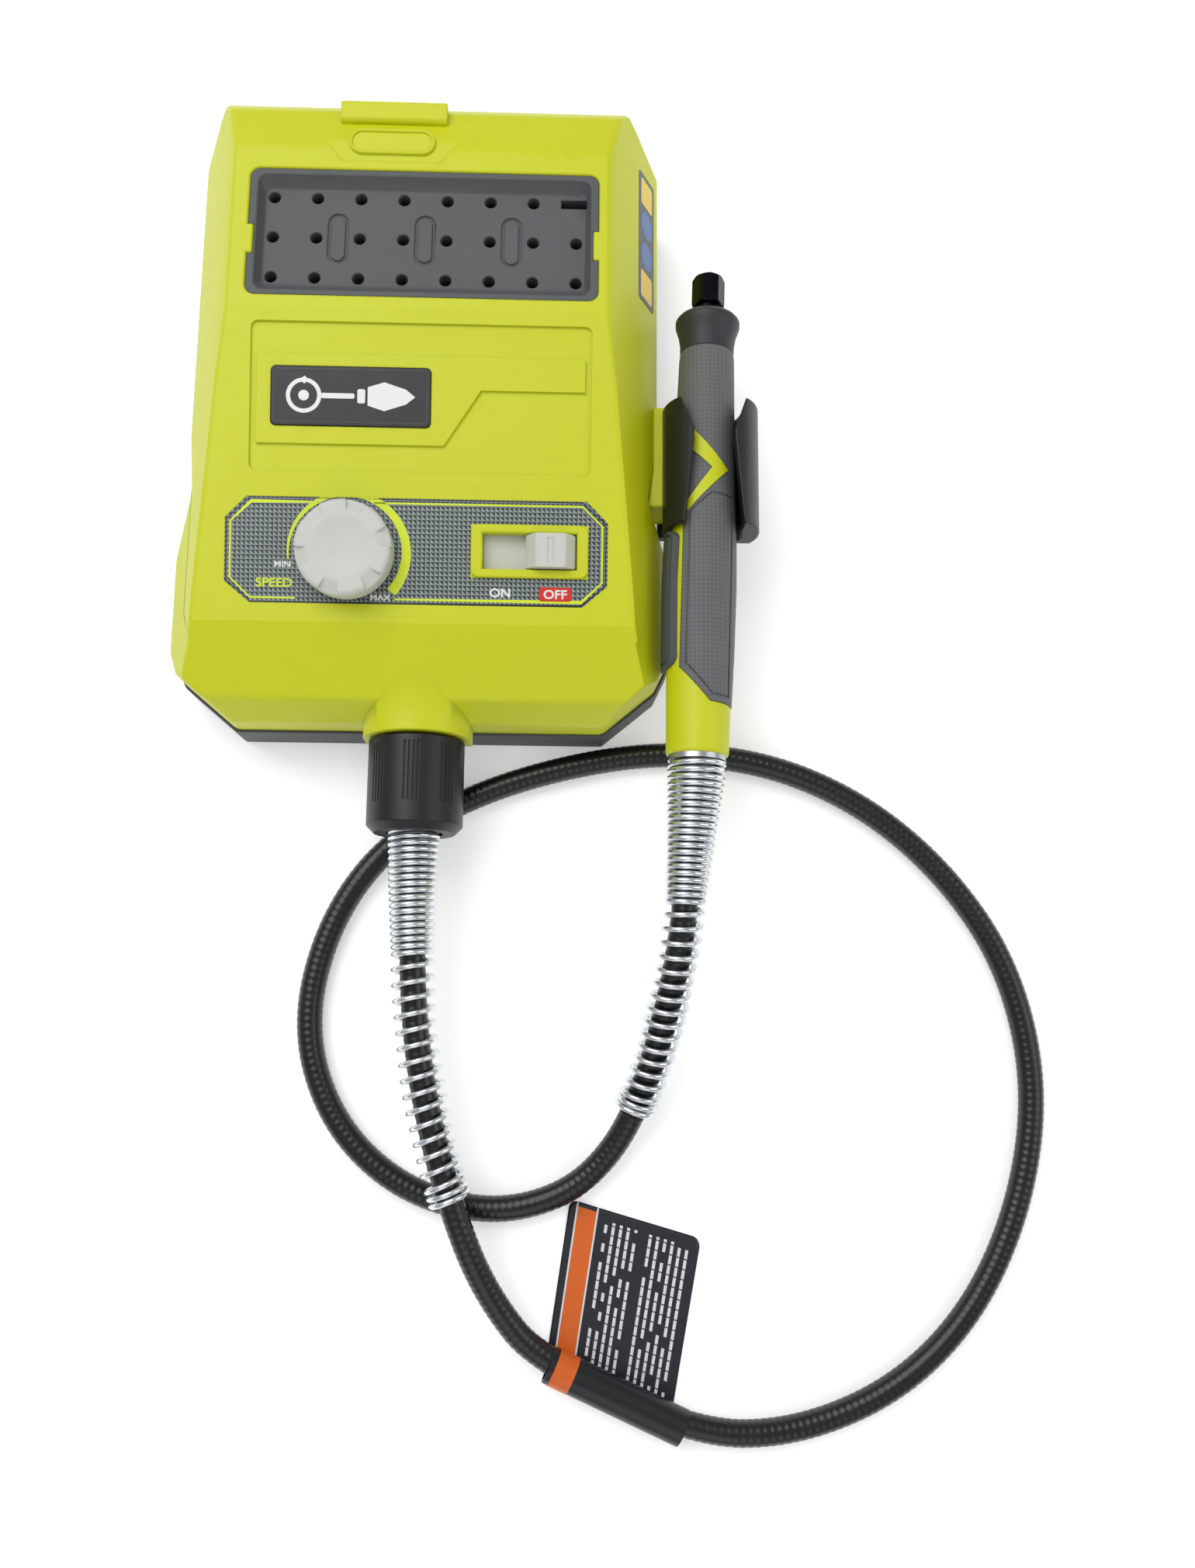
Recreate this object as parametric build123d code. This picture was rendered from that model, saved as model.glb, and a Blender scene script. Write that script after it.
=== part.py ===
from build123d import *
import math
import os

os.makedirs("parts", exist_ok=True)

# ---------------------------------------------------------------- driving sizes, mm
# The base unit lies on its back: Z is up, +Y points at the battery end, the origin
# is the centre of the flat underside.
PARTING_Z = 16.0          # height of the joint between the two casings
TOP_Z = 60.0              # height of the flat round the storage tray
HALF_WIDTH = 70.0         # half width of the upper part of the base unit
FLARE_OUT = 3.8           # how far the wide lower end stands out on each side
WAIST_IN = 3.0            # how far the waist is drawn in on each side
CORNER_RUN = 15.5         # width of the corner cuts
BEVEL_RUN = 16.0          # width of the sloped upper side walls
BEVEL_LOW = 7.5           # width of their steeper lower facet
BATTERY_END_Y = 96.0
OUTLET_END_Y = -91.0
RIDGE_Y = 22.0            # where the flat top turns into the control slope
PANEL_TILT = 9.5          # degrees, slope of the control panel
LOWER_EDGE_Y = -66.0      # where the panel turns into the lower facet
WALL = 2.5                # casing wall
BASE_FLOOR = 3.0
BASE_LIP = 0.8            # how far the lower casing stands proud of the upper one

GAP = 0.3                 # clear gap between pieces on different bodies
RUNNING = 0.05            # radial running clearance of shafts and threads

TRAY_X = 1.0
TRAY_Y = 45.5
TRAY_SIZE = (100.5, 39.5)
TRAY_DEPTH = 17.0
TRAY_RECESS = 3.2         # floor of the tray below its rim
BIT_PITCH = 12.5
BIT_COLUMNS = 8
BIT_ROWS = 3
BIT_HOLE_R = 1.7
BIT_HOLE_DEPTH = 11.0

SOCKET_INSIDE = (48.0, 25.0)     # battery stem opening, X by Z
SOCKET_LENGTH = 56.0
SOCKET_WALL = 3.0
SOCKET_Z = 22.5

KNOB_X = -18.9
KNOB_Y = -46.5
KNOB_R = 13.5
KNOB_HEIGHT = 8.8
KNOB_NOTCHES = 6
KNOB_TURN = 13.0          # angle of the first notch
NOTCH_RUN = 4.0           # how far a notch reaches in from the rim
NOTCH_FALL = 2.0          # how deep it is at the rim
NOTCH_WIDTHS = (3.6, 6.2)
KNOB_SHAFT_R = 3.0
POT_R = 8.0
BUSHING_WALL = 0.6

SWITCH_X = 32.7
SWITCH_Y = -45.5
BEZEL_SIZE = (33.3, 15.2)
BEZEL_OPENING = (26.7, 10.2)
SLIDER_WIDTH = 14.2
SLIDER_CROWN = 8.4        # width across the flat top of the slider
SLIDER_TOP = 4.2
SWITCH_TRAVEL = 12.0

AXIS_Z = 23.5             # height of the motor and outlet axis
MOTOR_R = 15.0
MOTOR_SHELL = 1.2
MOTOR_FRONT_Y = -70.0
MOTOR_LENGTH = 46.0
MOTOR_SHAFT_R = 1.6
OUTLET_BORE_R = 6.5
SPIGOT_R = 10.0
FLANGE_Y = -83.5          # inner face of the collar's flange
FLANGE_THICK = 2.5
FLANGE_STEP = 2.0
SPIGOT_END_Y = -112.0
FERRULE_Y = -115.6        # outer face of the base ferrule's head
DOME_END = 4.2            # how far the dome reaches past the casing
NUT_WALL = 4.0
DOME_STEP = 1.8           # the dome stands proud of the nut
NUT_START_Y = -96.0
NUT_LENGTH = 27.0

CASING_R = 3.8            # flexible casing, outside
CASING_BORE = 2.4
CORE_CLEAR = 0.35
CORE_R = 2.0
GUARD_BASE_STEP = 3.95    # spring guards: wide ends, from the casing out
GUARD_HAND_STEP = 4.8
GUARD_WIRE = 1.8
GUARD_SLACK = 0.7         # between the casing and the narrow turns
CONE_LENGTH = 42.0
BASE_GUARD_LENGTH = 113.0
HAND_GUARD_LENGTH = 104.0
GUARD_STATIONS = 16
LABEL_RUN = 6             # the run of the route that carries the wrap-round label
SLEEVE_STEP = 1.4
SLEEVE_START = 3.6
SLEEVE_LENGTH = 42.0

HAND_OFFSET = 11.5        # rear of the handpiece from the side of the base unit
HAND_REAR_Y = -101.0
HAND_Z = 34.0
HAND_TILT = 1.58          # degrees, the handpiece leans in its clip
SPINDLE_R = 3.0
COLLET_R = 1.6            # for 3.2 mm shanks
COLLET_WALL = 0.5
NOSE_STEP = 0.8           # the spindle's nose stands proud of its shank
CLIP_OFFSET = 15.8        # middle of the clip from the side of the base unit
CLIP_OUTER_R = 14.3
BORE_OFFSET = 13.9        # the clip's bore sits off its middle, under the handpiece
CLIP_BORE_R = 11.0

GUARD_BASE_R = CASING_R + GUARD_BASE_STEP
GUARD_HAND_R = CASING_R + GUARD_HAND_STEP
GUARD_NARROW_R = CASING_R + GUARD_SLACK + GUARD_WIRE
SLEEVE_R = CASING_R + SLEEVE_STEP
COLLET_OUTER = COLLET_R + COLLET_WALL
NOSE_R = SPINDLE_R + NOSE_STEP
FLANGE_END_Y = FLANGE_Y - FLANGE_THICK
FLARE_HALF = HALF_WIDTH + FLARE_OUT
WAIST_HALF = HALF_WIDTH - WAIST_IN
END_HALF = HALF_WIDTH - CORNER_RUN
BUSHING_R = KNOB_SHAFT_R + BUSHING_WALL
COLLAR_FLANGE_R = SPIGOT_R + FLANGE_STEP
NUT_R = SPIGOT_R + NUT_WALL
DOME_R = NUT_R + DOME_STEP
HAND_REAR = (HALF_WIDTH + HAND_OFFSET, HAND_REAR_Y, HAND_Z)
CLIP_CENTRE = (HALF_WIDTH + CLIP_OFFSET, HAND_Z)

# Middle of the flexible casing from the base ferrule to the handpiece ferrule.
ROUTE = [
    (0, -116, AXIS_Z), (0, -146, AXIS_Z), (1.5, -178, 22), (6.5, -206, 20), (16, -236, 17.5),
    (25, -255, 10), (38, -271, 5.5), (83, -291, 5.4), (112, -291, 4), (142, -279, 4),
    (165, -257, 4), (180, -226, 4), (185.5, -192, 4), (178.5, -158, 4), (161, -131, 4),
    (137, -110, 4), (108, -97, 4), (76, -93.5, 4), (44, -98.5, 4), (14, -108.5, 4),
    (-11, -124, 4), (-27, -148, 4), (-33, -178, 4), (-24, -205, 4), (-4, -224, 4),
    (22, -231.5, 4), (45, -226.5, 4.5), (60, -212.5, 7.5), (69, -192, 14), (74, -172, 23),
    (77.4, -152, 30.6), (79.5, -128, 32.9), (81.4, -104.5, 34),
]


# ---------------------------------------------------------------- helpers
def save(shape, node):
    export_step(shape, f"parts/{node}.step")


def block(x0, x1, y0, y1, z0, z1):
    centre = Pos((x0 + x1) / 2, (y0 + y1) / 2, (z0 + z1) / 2)
    return centre * Box(x1 - x0, y1 - y0, z1 - z0)


def rod(radius, y_from, y_to, x=0.0, z=AXIS_Z):
    place = Pos(x, (y_from + y_to) / 2, z) * Rot(90, 0, 0)
    return place * Cylinder(radius, abs(y_to - y_from))


def upright(x, y, z, radius, height):
    return Pos(x, y, z) * Cylinder(radius, height, align=(Align.CENTER, Align.CENTER, Align.MIN))


def tube(outer, inner, y_from, y_to, x=0.0, z=AXIS_Z):
    return rod(outer, y_from, y_to, x, z) - rod(inner, y_from, y_to, x, z)


def flat(*points):
    # a polygon whose normal is its plane's own normal, whichever way the points run
    area = sum(x0 * y1 - x1 * y0 for (x0, y0), (x1, y1) in zip(points, points[1:] + points[:1]))
    return Polygon(*(points if area > 0 else points[::-1]), align=None)


def turned(points):
    # points are (radius, height) pairs, turned about the local Z axis
    return revolve(Plane.XZ * flat(*points), Axis.Z)


def mirrored(points):
    # a right-hand half outline from top to bottom, closed by its mirror image
    return points + [(-x, y) for x, y in reversed(points)]


def panel_z(y):
    return TOP_Z - (RIDGE_Y - y) * math.tan(math.radians(PANEL_TILT))


def on_panel(x, y):
    # local Z is the panel's normal, local Y runs up the slope
    lean = math.radians(PANEL_TILT)
    normal = (0, -math.sin(lean), math.cos(lean))
    return Plane(origin=(x, y, panel_z(y)), x_dir=(1, 0, 0), z_dir=normal)


def slab(sketch, low, high):
    return Pos(0, 0, low) * extrude(sketch, amount=high - low)


# ---------------------------------------------------------------- casings
MAIN_OUTLINE = mirrored([
    (END_HALF, BATTERY_END_Y), (HALF_WIDTH, BATTERY_END_Y - 12), (HALF_WIDTH, -5), (WAIST_HALF, -24),
    (WAIST_HALF, -62), (END_HALF, OUTLET_END_Y),
])
BASE_OUTLINE = mirrored([
    (END_HALF, BATTERY_END_Y), (HALF_WIDTH, BATTERY_END_Y - 12), (HALF_WIDTH, -5), (WAIST_HALF, -24),
    (FLARE_HALF, -41), (FLARE_HALF, -70), (FLARE_HALF - 3.8, OUTLET_END_Y + 13), (END_HALF, OUTLET_END_Y),
])
FLARE_OUTLINE = mirrored([
    (WAIST_HALF - 9, -12), (WAIST_HALF, -24), (FLARE_HALF, -41), (FLARE_HALF, -70),
    (FLARE_HALF - 3.8, OUTLET_END_Y + 13), (END_HALF, OUTLET_END_Y),
])
MAIN_SECTION = mirrored([
    (HALF_WIDTH - BEVEL_RUN, TOP_Z), (HALF_WIDTH - BEVEL_RUN + 3, TOP_Z - 4),
    (HALF_WIDTH - BEVEL_LOW, TOP_Z - 14), (HALF_WIDTH, TOP_Z - 30), (HALF_WIDTH, 0),
])
FLARE_SECTION = mirrored([
    (HALF_WIDTH - 11, TOP_Z - 10), (HALF_WIDTH - 8.5, TOP_Z - 14), (FLARE_HALF, HAND_Z - 10), (FLARE_HALF, 0),
])
LOWER_Z = panel_z(LOWER_EDGE_Y)
SIDE_PROFILE = [
    (BATTERY_END_Y, 0), (BATTERY_END_Y, TOP_Z - 19), (BATTERY_END_Y - 4, TOP_Z - 10),
    (BATTERY_END_Y - 8.5, TOP_Z - 5), (BATTERY_END_Y - 19, TOP_Z - 1.4), (BATTERY_END_Y - 24, TOP_Z),
    (RIDGE_Y, TOP_Z),
    (LOWER_EDGE_Y, LOWER_Z), (LOWER_EDGE_Y - 20, LOWER_Z - 9.5), (OUTLET_END_Y, LOWER_Z - 19),
    (OUTLET_END_Y, 0),
]


def inset(points, amount):
    face = flat(*points)
    if amount == 0:
        return face
    return offset(face, amount=-amount, kind=Kind.INTERSECTION)


def hull_part(outline, section, amount):
    reach = 2 * BATTERY_END_Y
    plan = extrude(inset(outline, amount), amount=2 * TOP_Z)
    across = extrude(Plane.XZ * inset(section, amount), amount=reach, both=True)
    return plan & across


def upper_form(amount):
    # outer form of the upper casing, or its hollow when amount is the wall
    form = hull_part(MAIN_OUTLINE, MAIN_SECTION, amount)
    form += hull_part(FLARE_OUTLINE, FLARE_SECTION, amount)
    side = extrude(Plane.YZ * inset(SIDE_PROFILE, amount), amount=2 * HALF_WIDTH, both=True)
    form = form & side
    return form - block(-200, 200, -200, 200, -1, PARTING_Z)


def tray_opening(z_low, z_high):
    return Pos(TRAY_X, TRAY_Y, z_low) * extrude(RectangleRounded(*TRAY_SIZE, 3.0), amount=z_high - z_low)


def tray_tabs(z_low, z_high):
    reach = TRAY_SIZE[0] / 2
    left = block(TRAY_X - reach - 0.5, TRAY_X - reach + 1.6, TRAY_Y - 7, TRAY_Y + 2, z_low, z_high)
    right = block(TRAY_X + reach - 1.6, TRAY_X + reach + 0.5, TRAY_Y - 7, TRAY_Y + 2, z_low, z_high)
    return left + right


def socket_cavity(y_from, y_to, grow=0.0):
    half_x = SOCKET_INSIDE[0] / 2 + grow
    half_z = SOCKET_INSIDE[1] / 2 + grow
    return block(-half_x, half_x, y_from, y_to, SOCKET_Z - half_z, SOCKET_Z + half_z)


BOSSES = [(sx * (HALF_WIDTH - 10), y) for sx in (-1, 1) for y in (BATTERY_END_Y - 24, 10, -64)]
BOSS_R = 4.2
SCREW_R = 1.5
SCREW_HEAD_R = 3.0
SCREW_LENGTH = 24.0
BADGE_SIZE = (45.2, 17.0)
BADGE_AT = (-18.4, -3.0)
LABEL_POINTS = [
    (-48, 15), (48, 15), (54, 9), (54, -9), (47, -15), (-47, -15), (-54, -9), (-54, 9),
]
LABEL_Y = -46.0
LABEL_DEPTH = 0.5
TAB_X = -9.0              # middle of the raised latch lip at the battery end


def collar_seat():
    return rod(SPIGOT_R, -75, -100) + rod(COLLAR_FLANGE_R, -75, FLANGE_END_Y)


def top_shell():
    outer = upper_form(0)
    shell = outer - upper_form(WALL)
    # dome round the drive outlet and the collar seat in it
    dome = rod(DOME_R, OUTLET_END_Y + 19, OUTLET_END_Y - DOME_END)
    dome = dome - block(-50, 50, -120, 0, 0, PARTING_Z)
    dome = dome + block(-DOME_R, DOME_R, OUTLET_END_Y - DOME_END, OUTLET_END_Y + 2, PARTING_Z, AXIS_Z)
    hollow = upper_form(WALL)
    shell += dome - hollow
    shell -= collar_seat()
    # screw bosses
    for x, y in BOSSES:
        post = upright(x, y, PARTING_Z, BOSS_R, TOP_Z)
        pilot = upright(x, y, PARTING_Z, SCREW_R, SCREW_LENGTH + 6 - PARTING_Z)
        shell += (post & outer) - pilot
        shell -= pilot
    # latch lip and blank oval at the battery end
    lip = block(TAB_X - 15.5, TAB_X + 15.5, BATTERY_END_Y - 14, BATTERY_END_Y - 7.2, TOP_Z - 10,
                TOP_Z - 1.2)
    lip = chamfer(lip.edges().filter_by(Axis.X).group_by(Axis.Z)[-1], 0.9)
    shell += lip - upper_form(WALL)
    pocket = extrude(flat(
        (TAB_X - 21, BATTERY_END_Y - 18), (TAB_X + 21, BATTERY_END_Y - 18),
        (TAB_X + 14.5, BATTERY_END_Y - 28), (TAB_X - 14.5, BATTERY_END_Y - 28)), amount=2)
    shell -= Pos(0, 0, TOP_Z - 0.8) * pocket
    oval = SlotOverall(25, 8)
    shell += Pos(TAB_X, BATTERY_END_Y - 21.5, TOP_Z - 2) * extrude(oval, amount=2.2)
    shell -= Pos(TAB_X, BATTERY_END_Y - 21.5, TOP_Z - 0.4) * extrude(SlotOverall(23, 6), amount=2)
    # storage tray opening with its two locating tabs
    shell -= tray_opening(TOP_Z - TRAY_DEPTH - 5, TOP_Z + 5)
    shell += tray_tabs(TOP_Z - WALL, TOP_Z)
    # battery mouth
    shell -= socket_cavity(BATTERY_END_Y - WALL - 1, BATTERY_END_Y + 1)
    # recessed frame with its raised plate, and the badge seat
    frame_plane = on_panel(1.4, -3.0)
    frame = frame_plane * slab(RectangleRounded(96.5, 42.5, 2), -0.9, 3)
    plate = frame_plane * slab(flat(
        (-46.5, 12), (46.5, 12), (46.5, 2.5), (17, 2.5), (6.5, -13.5), (-46.5, -13.5)), -0.9, 0)
    shell -= frame - plate
    badge_seat = on_panel(*BADGE_AT) * slab(RectangleRounded(*BADGE_SIZE, 1.5), -0.8, 3)
    shell -= badge_seat
    # control label seat, knob bushing hole and switch opening
    shell -= on_panel(0.8, LABEL_Y) * slab(flat(*LABEL_POINTS), -LABEL_DEPTH, 3)
    shell -= on_panel(KNOB_X, KNOB_Y) * slab(Circle(BUSHING_R), -10, 3)
    shell -= on_panel(SWITCH_X, SWITCH_Y) * slab(Rectangle(*BEZEL_SIZE), -6, 3)
    # pilot holes for the holder screws
    for y in HOLDER_SCREW_Y:
        shell -= Pos(HALF_WIDTH, y, HOLDER_SCREW_Z) * Rot(0, 90, 0) * Cylinder(SCREW_R, 16)
    # seat of the side label
    shell -= side_label_form(-0.4, 3)
    return shell


def base_form(amount, z_low, z_high):
    plan = inset(BASE_OUTLINE, amount - BASE_LIP)
    return Pos(0, 0, z_low) * extrude(plan, amount=z_high - z_low)


PAD_R = 7.0
PAD_THICK = 1.5
PAD_PLACES = [(sx * x, y) for sx in (-1, 1) for x, y in (
    (HALF_WIDTH - 22, BATTERY_END_Y - 16), (HALF_WIDTH - 18, -62))]
HOLDER_SCREW_Y = (-2.0, -16.0)
HOLDER_SCREW_Z = 26.0
LABEL_SLOPE = math.atan2(BEVEL_LOW, 16)                  # lean of the upper side wall


def side_label_form(low, high):
    lean = math.pi / 2 - LABEL_SLOPE
    mid = Vector(HALF_WIDTH - BEVEL_LOW / 2, 58.0, TOP_Z - 22)
    normal = (math.sin(lean), 0, math.cos(lean))
    seat = Plane(origin=mid, x_dir=(0, 1, 0), z_dir=normal)
    return seat * slab(RectangleRounded(42, 12, 1.2), low, high)


def base_shell():
    lower = chamfer(base_form(0, 0, PARTING_Z).faces().sort_by(Axis.Z)[0].edges(), 1.4)
    shell = lower - base_form(BASE_LIP + WALL, BASE_FLOOR, PARTING_Z + 1)
    # lower half of the outlet collar seat
    saddle = rod(DOME_R, OUTLET_END_Y + 7, OUTLET_END_Y - DOME_END)
    saddle &= block(-HALF_WIDTH, HALF_WIDTH, -120, 0, 0, PARTING_Z)
    shell += saddle
    shell -= collar_seat()
    shell -= rod(MOTOR_R, MOTOR_FRONT_Y + 10, FLANGE_Y + 0.5)
    # screw posts with counterbored heads
    for x, y in BOSSES:
        shell += upright(x, y, 0.5, BOSS_R, PARTING_Z - 0.5)
    for x, y in BOSSES:
        shell -= Pos(x, y, 0) * Cylinder(SCREW_R + 0.1, 2 * PARTING_Z + 2)
        shell -= Pos(x, y, 0) * Cylinder(SCREW_HEAD_R + 0.2, 12)
    # motor cradle ribs and board posts
    for y in (MOTOR_FRONT_Y + 8, MOTOR_FRONT_Y + MOTOR_LENGTH - 8):
        shell += block(-MOTOR_R - 7, MOTOR_R + 7, y - 1.5, y + 1.5, 1, PARTING_Z) - rod(MOTOR_R, -90, -20)
    for x, y in BOARD_POSTS:
        shell += upright(x, y, 1, 3, BOARD_Z - 1)
    # battery mouth
    shell -= socket_cavity(BATTERY_END_Y - WALL - 1, BATTERY_END_Y + 2)
    # air slots under the fan and pad seats
    for row in range(-3, 4):
        shell -= block(row * 6 - 1.2, row * 6 + 1.2, -24, -8, -1, BASE_FLOOR + 1)
    for x, y in PAD_PLACES:
        shell -= Pos(x, y, 0) * Cylinder(PAD_R, 2 * PAD_THICK)
    return shell


BOARD_SIZE = (54.0, 38.0)
BOARD_Z = 9.0
BOARD_Y = 11.0
BOARD_POSTS = [(sx * 23, BOARD_Y + sy * 15) for sx in (-1, 1) for sy in (-1, 1)]

save(top_shell(), "top_shell")
save(base_shell(), "base_shell")

screws = Compound(children=[
    Pos(x, y, 6.0) * (
        Cylinder(SCREW_HEAD_R, 2.4, align=(Align.CENTER, Align.CENTER, Align.MAX))
        - Pos(0, 0, -1.9) * Box(4.6, 0.9, 1.2)
        + Cylinder(SCREW_R - 0.02, SCREW_LENGTH - 6, align=(Align.CENTER, Align.CENTER, Align.MIN)))
    for x, y in BOSSES])
save(screws, "casing_screws")

pads = Compound(children=[
    upright(x, y, 0, PAD_R, PAD_THICK) for x, y in PAD_PLACES])
save(pads, "rubber_pads")


# ---------------------------------------------------------------- storage tray
def tray():
    rim_z = TOP_Z - 0.4
    floor_z = rim_z - TRAY_RECESS
    body = tray_opening(TOP_Z - TRAY_DEPTH, rim_z)
    body -= tray_tabs(TOP_Z - WALL, TOP_Z)
    rim = Plane.XY.offset(rim_z) * RectangleRounded(TRAY_SIZE[0] - 4.6, TRAY_SIZE[1] - 3.4, 2.5)
    floor = Plane.XY.offset(floor_z) * RectangleRounded(TRAY_SIZE[0] - 7.4, TRAY_SIZE[1] - 8.0, 2.0)
    body -= Pos(TRAY_X, TRAY_Y, 0) * loft([floor, rim])
    columns = [BIT_PITCH * (i - (BIT_COLUMNS - 1) / 2) for i in range(BIT_COLUMNS)]
    rows = [BIT_PITCH * ((BIT_ROWS - 1) / 2 - i) for i in range(BIT_ROWS)]
    for r, dy in enumerate(rows):
        for c, dx in enumerate(columns):
            if r == 0 and c == BIT_COLUMNS - 1:
                body -= Pos(TRAY_X + dx, TRAY_Y + dy, floor_z - 4) * Box(9, 2.6, 8.2)
                continue
            body -= Pos(TRAY_X + dx, TRAY_Y + dy, floor_z) * Cylinder(
                BIT_HOLE_R, BIT_HOLE_DEPTH, align=(Align.CENTER, Align.CENTER, Align.MAX))
    ring = SlotOverall(15.5, 5.8, rotation=90) - SlotOverall(13.9, 4.2, rotation=90)
    for dx in (-2 * BIT_PITCH, 0, 2 * BIT_PITCH):
        body -= Pos(TRAY_X + dx, TRAY_Y, floor_z - 0.6) * extrude(ring, amount=1)
    # groove along the underside
    groove_y = -TRAY_SIZE[1] / 2 + 2
    reach = TRAY_SIZE[0] / 2 - 2
    body -= Pos(TRAY_X, TRAY_Y, 0) * block(
        -reach, reach, groove_y, groove_y + 1.2, TOP_Z - TRAY_DEPTH, floor_z - 2)
    return body


save(tray(), "storage_tray")


# ---------------------------------------------------------------- battery socket
def battery_socket():
    front = BATTERY_END_Y - WALL
    body = socket_cavity(front - SOCKET_LENGTH, front, SOCKET_WALL)
    body -= socket_cavity(front - SOCKET_LENGTH + SOCKET_WALL, front + 1)
    # latch notches in the side walls
    body -= block(-40, 40, front - 22, front - 12, SOCKET_Z - 4, SOCKET_Z + 4) - block(
        -SOCKET_INSIDE[0] / 2 - 1.6, SOCKET_INSIDE[0] / 2 + 1.6, front - 30, front, 0, 60)
    return body


def battery_terminals():
    back = BATTERY_END_Y - WALL - SOCKET_LENGTH + SOCKET_WALL
    blades = []
    for x in (-9, 0, 9):
        blades.append(block(x - 0.5, x + 0.5, back, back + 14, SOCKET_Z - 5, SOCKET_Z + 5))
    return Compound(children=blades)


save(battery_socket(), "battery_socket")
save(battery_terminals(), "battery_terminals")


# ---------------------------------------------------------------- circuit board
def circuit_board():
    board = block(-BOARD_SIZE[0] / 2, BOARD_SIZE[0] / 2, BOARD_Y - BOARD_SIZE[1] / 2,
                  BOARD_Y + BOARD_SIZE[1] / 2, BOARD_Z, BOARD_Z + 1.6)
    top = BOARD_Z + 1.6
    board += block(-18, -4, BOARD_Y - 12, BOARD_Y - 2, top, top + 12)
    board += upright(8, BOARD_Y + 8, top, 5, 14) + upright(18, BOARD_Y - 4, top, 4, 10)
    return board


save(circuit_board(), "circuit_board")


# ---------------------------------------------------------------- badge, labels
save(on_panel(*BADGE_AT) * slab(RectangleRounded(*BADGE_SIZE, 1.5), -0.8, 0.5), "badge_plate")
label = on_panel(0.8, LABEL_Y) * slab(flat(*LABEL_POINTS), -LABEL_DEPTH, -0.1)
label -= on_panel(KNOB_X, KNOB_Y) * slab(Circle(BUSHING_R), -3, 3)
label -= on_panel(SWITCH_X, SWITCH_Y) * slab(Rectangle(*BEZEL_SIZE), -3, 3)
save(label, "control_label")
save(side_label_form(-0.4, 0), "side_label")


# ---------------------------------------------------------------- speed control
POT_TOP = -WALL - 0.1
BUSHING_TOP = 1.6


def speed_knob():
    low = 0.5
    knob = upright(0, 0, low, KNOB_R, KNOB_HEIGHT)
    knob = chamfer(knob.edges().group_by(Axis.Z)[-1], 1.0)
    top = low + KNOB_HEIGHT
    inner, outer = (width / 2 for width in NOTCH_WIDTHS)
    past = 1.5 * NOTCH_RUN
    flare = inner + (outer - inner) * 1.5
    wedge = extrude(Polygon((0, -inner), (past, -flare), (past, flare), (0, inner), align=None), NOTCH_RUN)
    slope = math.degrees(math.atan2(NOTCH_FALL, NOTCH_RUN))
    for i in range(KNOB_NOTCHES):
        turn = KNOB_TURN + 360 * i / KNOB_NOTCHES
        knob -= Rot(0, 0, turn) * Pos(KNOB_R - NOTCH_RUN, 0, top) * Rot(0, slope, 0) * wedge
    knob -= Pos(0, 0, top + 36.9) * Sphere(38)
    knob -= Cylinder(KNOB_SHAFT_R, 2 * (top - 2.0))
    knob -= Cylinder(BUSHING_R + 0.6, 2 * (BUSHING_TOP + GAP))
    return on_panel(KNOB_X, KNOB_Y) * knob


def pot_shaft():
    shaft = upright(0, 0, POT_TOP - 6, KNOB_SHAFT_R, 6 - POT_TOP + KNOB_HEIGHT - 1.5)
    return on_panel(KNOB_X, KNOB_Y) * shaft


def speed_pot():
    body = slab(Circle(POT_R), POT_TOP - 8.5, POT_TOP) + slab(Circle(BUSHING_R), POT_TOP, BUSHING_TOP)
    body -= slab(Circle(KNOB_SHAFT_R + RUNNING), POT_TOP - 6 - GAP, BUSHING_TOP + 1)
    return on_panel(KNOB_X, KNOB_Y) * body


save(speed_knob(), "speed_knob")
save(pot_shaft(), "pot_shaft")
save(speed_pot(), "speed_pot")


# ---------------------------------------------------------------- slide switch
BEZEL_LOW = -WALL - 0.4
SHUTTER_TOP = BEZEL_LOW - GAP
BED_TOP = SHUTTER_TOP - 1.4
BED_THICK = 1.5


def switch_bezel():
    bezel = slab(RectangleRounded(*BEZEL_SIZE, 2.5), 0, 1.2) + slab(Rectangle(*BEZEL_SIZE), BEZEL_LOW, 0)
    bezel -= slab(Rectangle(*BEZEL_OPENING), -6, 3)
    return on_panel(SWITCH_X, SWITCH_Y) * bezel


def switch_slider():
    rest = BEZEL_OPENING[0] / 2 - SLIDER_WIDTH / 2 - 0.25
    depth = BEZEL_OPENING[1] - 0.5
    wide, crown = SLIDER_WIDTH / 2, SLIDER_CROWN / 2
    outline = Polygon((-wide, SHUTTER_TOP), (wide, SHUTTER_TOP), (wide, 0), (crown, SLIDER_TOP),
                      (-crown, SLIDER_TOP), (-wide, 0), align=None)
    grip = Pos(rest, 0, 0) * extrude(Plane.XZ * outline, depth / 2, both=True)
    groove = Pos(rest, 0, SLIDER_TOP) * Box(1.4, depth - 3, 1.0)
    shutter = Pos(rest - 6.2, 0, 0) * slab(Rectangle(26.6, 13.0), SHUTTER_TOP - 1, SHUTTER_TOP)
    tang = Pos(rest, 0, 0) * slab(Rectangle(3, 4), BED_TOP - BED_THICK - 3.0, SHUTTER_TOP - 1)
    return on_panel(SWITCH_X, SWITCH_Y) * (grip - groove + shutter + tang)


def tang_slot(low, high, width):
    rest = BEZEL_OPENING[0] / 2 - SLIDER_WIDTH / 2 - 0.25
    length = SWITCH_TRAVEL + 3 + 2 * GAP
    return Pos(rest - SWITCH_TRAVEL / 2, 0, 0) * slab(Rectangle(length, width), low, high)


def switch_bed():
    bed = slab(Rectangle(40, 14), BED_TOP - BED_THICK, BED_TOP) - tang_slot(-20, 0, 4.6)
    return on_panel(SWITCH_X, SWITCH_Y) * bed


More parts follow.
